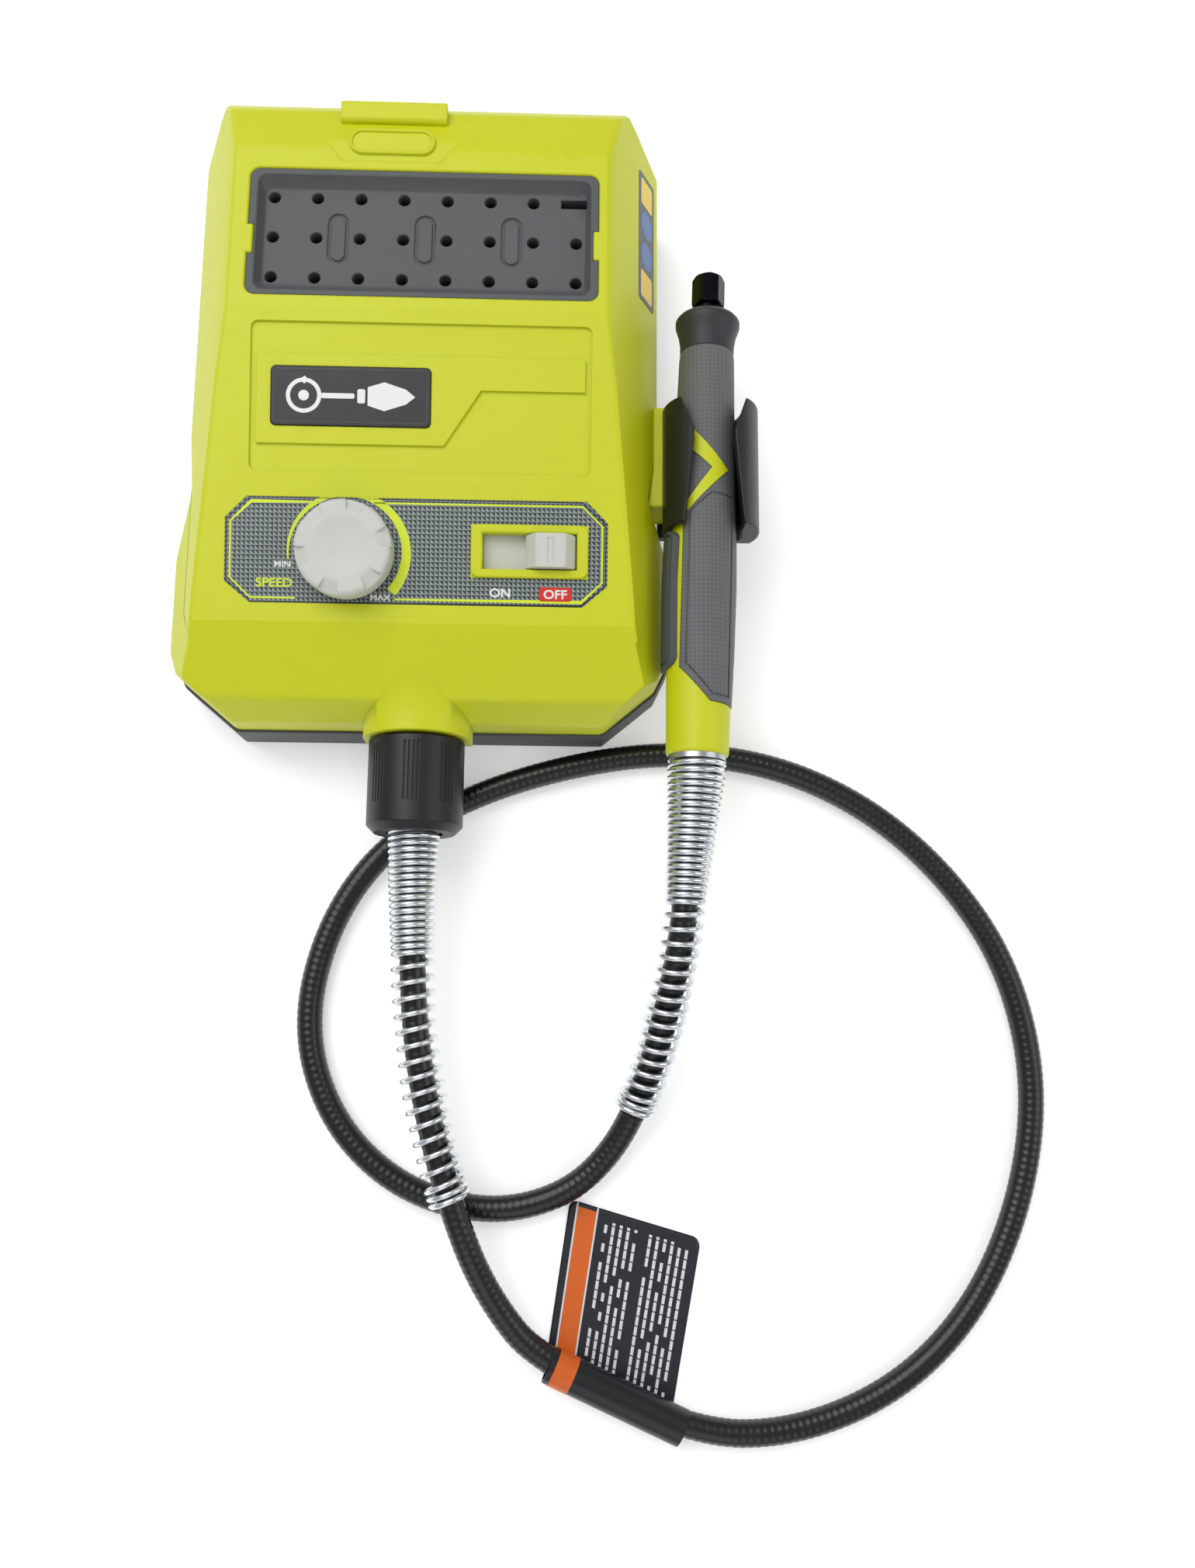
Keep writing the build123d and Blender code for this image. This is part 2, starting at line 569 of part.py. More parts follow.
def switch_body():
    low = BED_TOP - BED_THICK
    body = slab(Rectangle(34, 12), low - 8, low) - tang_slot(low - 3.0 - GAP, low, 4.6)
    for dx in (-8, 0, 8):
        body += Pos(dx, 0, 0) * slab(Rectangle(1.2, 4), low - 11.5, low - 8)
    return on_panel(SWITCH_X, SWITCH_Y) * body


save(switch_bezel(), "switch_bezel")
save(switch_slider(), "switch_slider")
save(switch_bed(), "switch_bed")
save(switch_body(), "switch_body")


# ---------------------------------------------------------------- motor and outlet
MOTOR_REAR_Y = MOTOR_FRONT_Y + MOTOR_LENGTH
BEARING_R = MOTOR_SHAFT_R + 2.9
MAGNET_BORE = MOTOR_R - 4.8
ROTOR_R = MAGNET_BORE - 0.6
FAN_HUB_R = 4.0


def motor_can():
    can = rod(MOTOR_R, MOTOR_FRONT_Y, MOTOR_REAR_Y)
    can -= rod(MOTOR_R - MOTOR_SHELL, MOTOR_FRONT_Y + 1.6, MOTOR_REAR_Y + 1)
    can -= rod(BEARING_R, MOTOR_FRONT_Y - 1, MOTOR_FRONT_Y + 4)
    return can


def motor_magnets():
    ring = tube(MOTOR_R - MOTOR_SHELL, MAGNET_BORE, MOTOR_FRONT_Y + 6, MOTOR_REAR_Y - 9)
    split = block(-20, 20, -90, 0, AXIS_Z - 4, AXIS_Z + 4)
    return ring - split


def motor_endcap():
    cap = rod(MOTOR_R - MOTOR_SHELL, MOTOR_REAR_Y - 3, MOTOR_REAR_Y) - rod(
        BEARING_R, MOTOR_REAR_Y - 4, MOTOR_REAR_Y + 4)
    return cap + tube(BEARING_R + 2, BEARING_R, MOTOR_REAR_Y, MOTOR_REAR_Y + 2)


def cooling_fan():
    y0 = MOTOR_REAR_Y + 4
    fan = tube(FAN_HUB_R, MOTOR_SHAFT_R, y0, y0 + 6) + tube(MOTOR_R - 2.5, FAN_HUB_R, y0, y0 + 1.2)
    for i in range(9):
        blade = Pos(FAN_HUB_R + 4.2, y0 + 3.5, 0) * Box(8.6, 4.8, 1.0)
        fan += Pos(0, 0, AXIS_Z) * Rot(0, 40 * i, 0) * blade
    return fan


def rotor_core():
    core = rod(ROTOR_R, MOTOR_FRONT_Y + 8, MOTOR_REAR_Y - 11) - rod(MOTOR_SHAFT_R, -100, 20)
    for i in range(5):
        slot = Pos(0, (MOTOR_FRONT_Y + MOTOR_REAR_Y) / 2, 8.2) * Box(1.6, MOTOR_LENGTH, 4.0)
        core -= Pos(0, 0, AXIS_Z) * Rot(0, 72 * i, 0) * slot
    return core


def drive_coupling():
    y0 = MOTOR_FRONT_Y - 4
    body = rod(CORE_R + 2.5, y0 - 18, y0) - rod(MOTOR_SHAFT_R, y0 - 6, y0 + 1)
    return body - rod(CORE_R + CORE_CLEAR, y0 - 19, y0 - 9)


def bearing(y_from, y_to):
    return tube(BEARING_R, MOTOR_SHAFT_R + RUNNING, y_from, y_to)


def outlet_collar():
    collar = rod(SPIGOT_R, FLANGE_Y, SPIGOT_END_Y) + rod(COLLAR_FLANGE_R, FLANGE_Y, FLANGE_END_Y)
    return collar - rod(OUTLET_BORE_R, -75, -115)


NUT_END_Y = NUT_START_Y - NUT_LENGTH


def coupling_nut():
    nut = rod(NUT_R, NUT_START_Y, NUT_END_Y)
    nut = chamfer(nut.edges().group_by(Axis.Y)[0], 2.2)
    nut -= rod(SPIGOT_R + RUNNING, NUT_START_Y + 1, SPIGOT_END_Y - 1)
    nut -= rod(SPIGOT_R, SPIGOT_END_Y - 0.5, FERRULE_Y - 0.4)
    nut -= rod(GUARD_BASE_R + 0.6, -115, -130)
    for i in range(8):
        for j in (-1.5, -0.5, 0.5, 1.5):
            turn = 45 * i + 5.5 * j
            flute = Pos(NUT_R + 0.25, NUT_START_Y - 10.5, 0) * Box(1.4, 17, 0.55)
            nut -= Pos(0, 0, AXIS_Z) * Rot(0, turn, 0) * flute
    return nut


def base_ferrule():
    head_y = SPIGOT_END_Y - 0.4
    ferrule = rod(SPIGOT_R - 0.5, head_y, FERRULE_Y) + rod(OUTLET_BORE_R - RUNNING, head_y + 8.4, head_y)
    ferrule += rod(CASING_R + 1.6, FERRULE_Y, FERRULE_Y - 9.4)
    return ferrule - rod(CASING_R + RUNNING, -100, -130)


save(motor_can(), "motor_can")
save(motor_magnets(), "motor_magnets")
save(motor_endcap(), "motor_endcap")
save(cooling_fan(), "cooling_fan")
save(rotor_core(), "rotor_core")
save(rod(MOTOR_SHAFT_R, MOTOR_FRONT_Y - 8, MOTOR_REAR_Y + 11), "motor_shaft")
save(tube(4.2, MOTOR_SHAFT_R, MOTOR_REAR_Y - 10, MOTOR_REAR_Y - 5), "commutator")
save(bearing(MOTOR_FRONT_Y, MOTOR_FRONT_Y + 4), "motor_front_bearing")
save(bearing(MOTOR_REAR_Y - 3, MOTOR_REAR_Y + 1), "motor_rear_bearing")
save(drive_coupling(), "drive_coupling")
save(outlet_collar(), "outlet_collar")
save(coupling_nut(), "coupling_nut")
save(base_ferrule(), "base_ferrule")


# ---------------------------------------------------------------- handpiece
tilt = math.radians(HAND_TILT)
HAND_DIR = (math.sin(tilt), math.cos(tilt), 0)
HAND = Plane(origin=HAND_REAR, x_dir=(math.cos(tilt), -math.sin(tilt), 0), z_dir=HAND_DIR)
# In the handpiece's own frame Z runs to the tip, X to the right and -Y faces up.
GRIP_START = 12.0
GRIP_END = 124.0
CAP_END = 136.0
NUT_START = 140.0
REAR_BORE = 7.0
CORE_BORE = 5.6
REAR_BEARING = (22.0, 28.0)
FRONT_BEARING = (116.0, 122.0)
TIP = 149.5
THREAD_R = COLLET_OUTER + 0.8
BODY_PROFILE = [(9.0, GRIP_START), (9.4, 40), (9.3, 60), (8.0, 88), (7.4, 108), (7.0, GRIP_END)]
GRIP_PROFILE = [
    (9.5, GRIP_START), (10.1, 30), (10.4, 50), (10.2, 62), (9.5, 78), (9.2, 90), (8.7, 106),
    (8.3, GRIP_END - 2), (8.1, GRIP_END),
]
LIME_PROFILE = [(8.7, 0), (9.1, 0.8), (9.3, GRIP_START), (9.8, 30), (10.1, 50), (9.9, 62), (9.3, 76)]
GRIP_OUTLINE = [
    (-6.4, 24.5), (2.5, 14.6), (14, 14.2), (14, 130), (-14, 130), (-14, 76), (-9.4, 76), (-6.4, 71),
]


def place(shape):
    return HAND * shape


GRIP_PANEL = [(-4.9, 25.3), (3.1, 16.4), (8.2, 16.4), (8.2, 77), (1.5, 77), (-4.9, 71)]


def grip_region():
    return extrude(Plane.XZ * flat(*GRIP_OUTLINE), amount=30, both=True)


def handpiece_body():
    sleeve = turned([(0, 0)] + LIME_PROFILE + [(0, 76)]) - grip_region()
    core = turned([(0, 5)] + BODY_PROFILE + [(0, GRIP_END)])
    body = sleeve + core
    body -= turned([(0, -1), (REAR_BORE, -1), (REAR_BORE, 14), (CORE_BORE, 16), (CORE_BORE, GRIP_END + 1),
                    (0, GRIP_END + 1)])
    return body


def grip_form(extra):
    return turned([(0, 0)] + [(r + extra, z) for r, z in [(9.4, 0)] + GRIP_PROFILE] + [(0, GRIP_END)])


def handpiece_grip():
    grip = grip_form(0) & grip_region()
    # grooves round the textured panel and along the seam
    line = inset(GRIP_PANEL, 0) - inset(GRIP_PANEL, 0.45)
    grip -= (grip_form(1) - grip_form(-0.35)) & (extrude(Plane.XZ * line, amount=30, both=True))
    grip -= turned([(0, -5)] + [(9.0, -5)] + BODY_PROFILE + [(7.0, 140), (0, 140)])
    return grip


def side_strip():
    at = Pos(0, 45.5)
    strip = (grip_form(1.3) - turned([(0, -1)] + LIME_PROFILE[2:] + [(0, 76)])) & extrude(
        Plane.YZ * (at * RectangleRounded(13.6, 41, 3)), amount=-20)
    ring = at * RectangleRounded(11.6, 39, 2.4) - at * RectangleRounded(10.8, 38.2, 2.0)
    return strip - ((grip_form(2) - grip_form(0.9)) & extrude(Plane.YZ * ring, amount=-20))


def chevron_inlay():
    arms = flat((-5.5, 98), (6.5, 84.5), (-5.5, 71), (-5.5, 74.5), (1.5, 84.5), (-5.5, 91))
    return (grip_form(0.35) - grip_form(0)) & extrude(Plane.XZ * arms, amount=20)


def front_cap():
    cap = turned([
        (0, GRIP_END), (8.1, GRIP_END), (8.2, GRIP_END + 3), (8.7, GRIP_END + 6), (9.7, GRIP_END + 9),
        (9.75, GRIP_END + 10.6), (8.6, CAP_END), (0, CAP_END)])
    return cap - Cylinder(NOSE_R + 0.5, 400)


def spindle():
    shaft = turned([(0, 21), (SPINDLE_R, 21), (SPINDLE_R, 126), (NOSE_R, 127), (NOSE_R, NUT_START - GAP),
                    (THREAD_R, NUT_START - GAP), (THREAD_R, 148.8), (0, 148.8)])
    return shaft - turned([(0, 124), (COLLET_OUTER, 124), (COLLET_OUTER, 146), (COLLET_OUTER + 0.4, 149),
                           (0, 149)])


def collet():
    body = turned([(COLLET_R, 126), (COLLET_OUTER, 126), (COLLET_OUTER, 146),
                   (COLLET_OUTER + 0.25, TIP - 0.7), (COLLET_R, TIP - 0.7)])
    for turn in (0, 90):
        body -= Pos(0, 0, 142) * Rot(0, 0, turn) * Box(8, 0.4, 20)
    return body


def collet_nut():
    hexagon = RegularPolygon(THREAD_R + 2.2, 6)
    nut = slab(hexagon, NUT_START, TIP) & turned([
        (0, NUT_START), (4.5, NUT_START), (5.3, NUT_START + 1), (5.3, TIP - 1.3), (4.2, TIP), (0, TIP)])
    nut -= slab(Circle(THREAD_R + RUNNING), NUT_START - 1, 149.1)
    return nut - slab(Circle(COLLET_OUTER + 0.3), 149, 151)


def hand_bearing(span):
    return turned([(SPINDLE_R + RUNNING, span[0]), (CORE_BORE, span[0]), (CORE_BORE, span[1]),
                   (SPINDLE_R + RUNNING, span[1])])


def drive_socket():
    body = turned([(0, 8), (CORE_R + 2.6, 8), (CORE_R + 2.6, 21), (0, 21)])
    return body - turned([(0, 7), (CORE_R + CORE_CLEAR, 7), (CORE_R + CORE_CLEAR, 17), (0, 17)])


def hand_ferrule():
    tail_r = CASING_R + 1.5
    plug = turned([(0, -1.5), (8.4, -1.5), (8.4, 0), (REAR_BORE, 0), (REAR_BORE, 6), (0, 6)])
    plug += turned([(0, -7), (tail_r, -7), (tail_r, 0), (0, 0)])
    return plug - turned([(0, -8), (CASING_R + GAP, -8), (CASING_R + GAP, -3), (CORE_R + 0.6, -3),
                          (CORE_R + 0.6, 7), (0, 7)])


save(place(handpiece_body()), "handpiece_body")
save(place(handpiece_grip()), "handpiece_grip")
save(place(side_strip()), "side_strip")
save(place(chevron_inlay()), "chevron_inlay")
save(place(front_cap()), "front_cap")
save(place(spindle()), "spindle")
save(place(collet()), "collet")
save(place(collet_nut()), "collet_nut")
save(place(hand_bearing(REAR_BEARING)), "handpiece_rear_bearing")
save(place(hand_bearing(FRONT_BEARING)), "handpiece_front_bearing")
save(place(drive_socket()), "drive_socket")
save(place(hand_ferrule()), "handpiece_ferrule")


# ---------------------------------------------------------------- holder
ARM_RIGHT = CLIP_CENTRE[0] - CLIP_OUTER_R + 1.2
BORE_X = HALF_WIDTH + BORE_OFFSET


def holder_arm():
    arm = block(HALF_WIDTH - 10, ARM_RIGHT, -25, 6.6, 18, 33) - upper_form(0)
    for y in HOLDER_SCREW_Y:
        arm -= Pos(HALF_WIDTH, y, HOLDER_SCREW_Z) * Rot(0, 90, 0) * Cylinder(SCREW_R + 0.1, 30)
    return arm


def holder_clip():
    cx, cz = CLIP_CENTRE
    ring = rod(CLIP_OUTER_R, -34, 5, cx, cz)
    ring -= block(cx - 20, cx + 20, -2, 10, 0, cz - 7) + block(cx - 20, cx + 20, -40, -28, 0, cz - 7)
    mouth = flat((-9.6, 6), (-9.6, 5), (-6.0, -6), (-6.0, -9), (-8.8, -35), (8.8, -35), (6.0, -9), (6.0, -6),
                    (9.6, 5), (9.6, 6))
    ring -= Pos(cx, 0, cz) * extrude(mouth, amount=30)
    foot = block(HALF_WIDTH + BASE_LIP + GAP, ARM_RIGHT + 6, -29, 10.5, 14, 18)
    web = block(ARM_RIGHT, ARM_RIGHT + 6, -25, 5, 14, 33)
    clip = ring + foot + web
    return clip - rod(CLIP_BORE_R, -60, 40, BORE_X, cz) - holder_arm()


holder_screws = Compound(children=[
    Pos(HALF_WIDTH - 7, y, HOLDER_SCREW_Z) * Rot(0, 90, 0) * Cylinder(
        SCREW_R - 0.02, ARM_RIGHT - HALF_WIDTH + 6, align=(Align.CENTER, Align.CENTER, Align.MIN))
    for y in HOLDER_SCREW_Y])
save(holder_arm(), "holder_arm")
save(holder_clip(), "holder_clip")
save(holder_screws, "holder_screws")


# ---------------------------------------------------------------- flexible shaft
def bend_radii(route):
    radii = []
    for before, here, after in zip(route, route[1:], route[2:]):
        run_in = Vector(here) - Vector(before)
        run_out = Vector(after) - Vector(here)
        turn = math.radians(run_in.get_angle(run_out))
        radii.append(0.45 * min(run_in.length, run_out.length) / math.tan(turn / 2))
    return radii


def swept(route, outer, inner):
    path = FilletPolyline(*route, radius=bend_radii(route))
    start = Plane(origin=route[0], z_dir=Vector(route[1]) - Vector(route[0]))
    body = sweep(start * Circle(outer), path=path)
    if inner > 0:
        body -= sweep(start * Circle(inner), path=path)
    return body, path.length


def along(start, end, distance):
    step = Vector(end) - Vector(start)
    point = Vector(start) + step * (distance / step.length)
    return (point.X, point.Y, point.Z)


casing, casing_length = swept(ROUTE, CASING_R, CASING_BORE)
print("casing radii", [round(r) for r in bend_radii(ROUTE)])
print("casing length", round(casing_length, 1), "volume / section x length",
      round(casing.volume / (math.pi * (CASING_R**2 - CASING_BORE**2) * casing_length), 4))
save(casing, "flex_casing")

HAND_END = Vector(ROUTE[-1])
core_route = [along(ROUTE[0], ROUTE[1], -30.0)] + ROUTE[1:] + [
    along(ROUTE[-1], HAND_END + Vector(HAND_DIR), 17.0)]
core, core_length = swept(core_route, CORE_R, 0)
print("core length", round(core_length, 1))
save(core, "drive_core")


def spring_guard(route, length, wide):
    # close-wound cone next to the ferrule, then an open-wound run along the casing
    path = FilletPolyline(*route, radius=bend_radii(route))
    outside = []
    inside = []
    for i in range(GUARD_STATIONS + 1):
        distance = length * i / GUARD_STATIONS
        share = distance / path.length
        heading = path % share
        side = heading.cross(Vector(0, 0, 1))
        station = Plane(origin=path @ share, x_dir=side, z_dir=heading)
        radius = wide + (GUARD_NARROW_R - wide) * min(1.0, distance / CONE_LENGTH)
        outside.append(station * Circle(radius))
        inside.append(station * Circle(radius - GUARD_WIRE))
    return loft(outside) - loft(inside)


save(spring_guard(ROUTE, BASE_GUARD_LENGTH, GUARD_BASE_R), "base_spring_guard")
save(spring_guard(ROUTE[::-1], HAND_GUARD_LENGTH, GUARD_HAND_R), "handpiece_spring_guard")


# ---------------------------------------------------------------- wrap-round label
def label_wrap(outer, inner, start, length):
    run = Vector(ROUTE[LABEL_RUN + 1]) - Vector(ROUTE[LABEL_RUN])
    seat = Plane(origin=along(ROUTE[LABEL_RUN], ROUTE[LABEL_RUN + 1], start), z_dir=run)
    return seat * slab(Circle(outer) - Circle(inner), 0, length)


save(label_wrap(SLEEVE_R, SLEEVE_R - 0.6, SLEEVE_START, SLEEVE_LENGTH), "label_sleeve")
save(label_wrap(SLEEVE_R + 0.12, SLEEVE_R, SLEEVE_START + 1.6, 6.0), "label_band")
flag = fillet(flat((40.5, -272.0), (76.5, -288.2), (85.4, -238.5), (46.8, -227.5)).vertices(), 2.5)
save(Pos(0, 0, 0.1) * extrude(flag, amount=0.4), "label_flag")
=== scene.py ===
import math

import bmesh
import bpy
from mathutils import Matrix, Vector
from mathutils.bvhtree import BVHTree
from mathutils.geometry import delaunay_2d_cdt


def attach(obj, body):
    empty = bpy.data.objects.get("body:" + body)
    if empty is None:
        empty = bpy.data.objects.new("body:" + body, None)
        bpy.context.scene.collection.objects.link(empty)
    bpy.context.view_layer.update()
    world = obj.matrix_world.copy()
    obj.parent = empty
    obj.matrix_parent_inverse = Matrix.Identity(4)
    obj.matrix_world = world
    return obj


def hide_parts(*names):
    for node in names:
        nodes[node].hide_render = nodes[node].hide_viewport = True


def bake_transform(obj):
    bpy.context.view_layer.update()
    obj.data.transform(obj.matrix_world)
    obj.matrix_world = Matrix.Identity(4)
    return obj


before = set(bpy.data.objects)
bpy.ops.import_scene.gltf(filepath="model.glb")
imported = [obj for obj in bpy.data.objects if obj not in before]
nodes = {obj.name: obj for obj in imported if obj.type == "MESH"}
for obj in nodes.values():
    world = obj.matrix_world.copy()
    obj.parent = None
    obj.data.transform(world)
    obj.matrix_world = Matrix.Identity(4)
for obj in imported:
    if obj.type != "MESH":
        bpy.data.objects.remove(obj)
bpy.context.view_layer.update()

mm = 0.001


# sums on shader sockets are written as ordinary expressions
class Wire:
    def __init__(self, tree, socket):
        self.tree = tree
        self.socket = socket

    def maths(self, operation, *values):
        node = self.tree.nodes.new("ShaderNodeMath")
        node.operation = operation
        for slot, value in zip(node.inputs, values):
            if isinstance(value, Wire):
                self.tree.links.new(value.socket, slot)
            else:
                slot.default_value = value
        return Wire(self.tree, node.outputs[0])

    def __add__(self, other): return self.maths("ADD", self, other)
    def __radd__(self, other): return self.maths("ADD", other, self)
    def __sub__(self, other): return self.maths("SUBTRACT", self, other)
    def __rsub__(self, other): return self.maths("SUBTRACT", other, self)
    def __mul__(self, other): return self.maths("MULTIPLY", self, other)
    def __rmul__(self, other): return self.maths("MULTIPLY", other, self)
    def __truediv__(self, other): return self.maths("DIVIDE", self, other)
    def __lt__(self, other): return self.maths("LESS_THAN", self, other)
    def __gt__(self, other): return self.maths("GREATER_THAN", self, other)
    def __abs__(self): return self.maths("ABSOLUTE", self)

    def fraction(self): return self.maths("FRACT", self)
    def whole(self): return self.maths("FLOOR", self)
    def sine(self): return self.maths("SINE", self)
    def smaller(self, other): return self.maths("MINIMUM", self, other)
    def larger(self, other): return self.maths("MAXIMUM", self, other)


class Finish:
    def __init__(self, name, **fixed):
        self.material = bpy.data.materials.new(name)
        self.material.use_nodes = True
        self.tree = self.material.node_tree
        self.shader = self.tree.nodes["Principled BSDF"]
        self.set(**fixed)

    def set(self, **sockets):
        for name, value in sockets.items():
            slot = self.shader.inputs[name.replace("_", " ")]
            if isinstance(value, Wire):
                self.tree.links.new(value.socket, slot)
            else:
                slot.default_value = value
        return self

    def node(self, kind, settings=None, values=None, output=0):
        node = self.tree.nodes.new(kind)
        for key, value in (settings or {}).items():
            if key == "stops":
                ramp = node.color_ramp.elements
                while len(ramp) < len(value):
                    ramp.new(0.5)
                for element, (place, colour) in zip(ramp, value):
                    element.position = place
                    element.color = colour
            else:
                setattr(node, key, value)
        for key, value in (values or {}).items():
            slot = node.inputs[key]
            if isinstance(value, Wire):
                self.tree.links.new(value.socket, slot)
            else:
                slot.default_value = value
        return Wire(self.tree, node.outputs[output])

    def place(self):
        return self.node("ShaderNodeTexCoord", output="Object")

    def split(self, vector):
        return [self.node("ShaderNodeSeparateXYZ", values={"Vector": vector}, output=k) for k in "XYZ"]

    def noise(self, scale, detail=2.0, vector=None, roughness=0.5):
        vector = vector or self.place()
        return self.node("ShaderNodeTexNoise", values={
            "Vector": vector, "Scale": scale, "Detail": detail, "Roughness": roughness}, output=0)

    def mix(self, share, first, second):
        return self.node("ShaderNodeMix", {"data_type": "RGBA"}, {0: share, 6: first, 7: second}, output=2)

    def bump(self, height, strength, distance):
        return self.node("ShaderNodeBump", values={
            "Height": height, "Strength": strength, "Distance": distance})


def tone(code, gain=1.0):
    parts = [int(code[i:i + 2], 16) / 255 for i in (0, 2, 4)]
    line = [c / 12.92 if c <= 0.04045 else ((c + 0.055) / 1.055) ** 2.4 for c in parts]
    return tuple(min(1.0, c * gain) for c in line) + (1.0,)


# every finish of the tool, by name
def moulded(name, code, rough, grain=2600, depth=0.12, shift=0.06, coat=0.0):
    # moulded plastic: fine spark grain, slow colour drift, faint rub marks
    f = Finish(name, Coat_Weight=coat, Coat_Roughness=0.25, IOR=1.48)
    fine = f.noise(grain, 3.0)
    drift = f.noise(28, 2.0)
    rub = f.noise(190, 4.0, roughness=0.62)
    colour = f.mix(drift, tone(code, 1 - shift), tone(code, 1 + shift))
    colour = f.mix(((rub - 0.6) * 2.2).larger(0.0).smaller(0.14), colour, tone(code, 0.8))
    f.set(Base_Color=colour, Roughness=rough + (rub - 0.5) * 0.12 + (fine - 0.5) * 0.08,
          Normal=f.bump(fine, depth, 0.00012))
    return f.material


def metal(name, code, rough, brushed=0.0, depth=0.1):
    f = Finish(name, Metallic=1.0)
    spots = f.noise(340, 4.0, roughness=0.6)
    fine = f.noise(3200, 2.0)
    colour = f.mix(spots, tone(code, 0.88), tone(code, 1.05))
    if brushed:
        x, y, z = f.split(f.place())
        line = f.node("ShaderNodeCombineXYZ", values={"X": x * 40, "Y": y * 2600, "Z": z * 40})
        fine = f.noise(1.0, 2.0, vector=line)
    f.set(Base_Color=colour, Roughness=rough + (spots - 0.5) * 0.16, Normal=f.bump(fine, depth, 0.00006))
    return f.material


def wireSteel():
    # bright zinc on drawn wire, with fine draw lines along its length
    f = Finish("springWire", Metallic=1.0)
    u, v = f.split(f.node("ShaderNodeUVMap"))[:2]
    lines = f.noise(1.0, 3.0, vector=f.node("ShaderNodeCombineXYZ", values={"X": u * 42, "Y": v * 90}))
    cloud = f.noise(260, 3.0)
    f.set(Base_Color=f.mix(cloud, tone("C6CCD2"), tone("F1F4F6")),
          Roughness=0.17 + lines * 0.1 + (cloud - 0.5) * 0.1, Normal=f.bump(lines, 0.12, 0.00005))
    return f.material


def casingRubber():
    # glossy black sleeve over a wound liner
    f = Finish("casingSkin", Coat_Weight=0.2, Coat_Roughness=0.16, IOR=1.46)
    u, v = f.split(f.node("ShaderNodeUVMap"))[:2]
    wind = ((v * (2 * math.pi / 0.00212)).sine() * 0.5 + 0.5)
    cloud = f.noise(320, 3.0)
    fine = f.noise(2400, 3.0)
    f.set(Base_Color=f.mix(cloud, tone("050608"), tone("0D0E12")),
          Roughness=0.3 + (cloud - 0.5) * 0.16 + (1 - wind) * 0.06,
          Normal=f.bump(wind * 0.6 + fine * 0.12, 0.35, 0.00018))
    return f.material


def crossPrint(name, pitch, dark, light):
    # small woven check printed across the control panel
    f = Finish(name, IOR=1.46)
    x, y, z = f.split(f.place())
    a = (x / pitch).fraction()
    b = (y / pitch).fraction()
    square = (a < 0.5) * (b < 0.5)
    teeth = ((a + b).fraction() < 0.5) * ((a < 0.5) + (b < 0.5)).smaller(1.0) * (1 - square)
    ink = (square + teeth).smaller(1.0)
    soft = f.noise(900, 2.0)
    f.set(Base_Color=f.mix(ink, f.mix(soft, tone(light, 0.93), tone(light, 1.06)), tone(dark)),
          Roughness=0.42 + (soft - 0.5) * 0.1, Normal=f.bump(ink + soft * 0.4, 0.08, 0.00008))
    return f.material


def gripRubber(name, code, pitch):
    # soft grip with rows of fine raised crosses
    f = Finish(name, IOR=1.45)
    x, y, z = f.split(f.place())
    a = abs((x / pitch).fraction() - 0.5)
    b = abs((y / pitch).fraction() - 0.5)
    cross = ((a < 0.12) * (b < 0.34) + (b < 0.12) * (a < 0.34)).smaller(1.0)
    fine = f.noise(3000, 3.0)
    cloud = f.noise(120, 3.0)
    colour = f.mix(cross * 0.55, f.mix(cloud, tone(code, 0.9), tone(code, 1.1)), tone(code, 1.55))
    f.set(Base_Color=colour, Roughness=0.62 + (fine - 0.5) * 0.15,
          Normal=f.bump(cross * 0.8 + fine * 0.45, 0.35, 0.00015))
    return f.material


def printedFilm(name, code, rough=0.36):
    f = Finish(name, IOR=1.46)
    soft = f.noise(700, 3.0)
    f.set(Base_Color=f.mix(soft, tone(code, 0.94), tone(code, 1.05)),
          Roughness=rough + (soft - 0.5) * 0.12, Normal=f.bump(soft, 0.05, 0.00008))
    return f.material


def flagPrint():
    # dark film with an edged side band and plain rows of dashes, on the flag's own map in metres
    f = Finish("flagPrint", IOR=1.46)
    u, v = f.split(f.node("ShaderNodeUVMap"))[:2]
    row = ((u - 0.0105) / 0.00222)
    inRow = (abs(row.fraction() - 0.5) < 0.2)
    cell = f.node("ShaderNodeTexWhiteNoise", {"noise_dimensions": "2D"}, {
        "Vector": f.node("ShaderNodeCombineXYZ", values={
            "X": row.whole(), "Y": (v / 0.0032).whole()})})
    gap = (abs(row - 5.5) < 0.5) + (row < 0.0) + (row > 12.0) + (v < 0.003) + (v > 0.0525)
    text = inRow * (cell > 0.16) * ((v / 0.0032).fraction() > 0.12) * (1 - gap.smaller(1.0))
    band = (abs(u - 0.0055) < 0.0028)
    edge = (abs(u - 0.0055) < 0.0033) * (1 - band)
    soft = f.noise(600, 3.0)
    colour = f.mix((text + edge).smaller(1.0), f.mix(soft, tone("1B1D26"), tone("262934")), tone("DADCE0"))
    colour = f.mix(band * (v < 0.0545) * (v > 0.0015), colour, tone("D9651E"))
    f.set(Base_Color=colour, Roughness=0.4 + (soft - 0.5) * 0.1, Normal=f.bump(soft, 0.06, 0.0001))
    return f.material


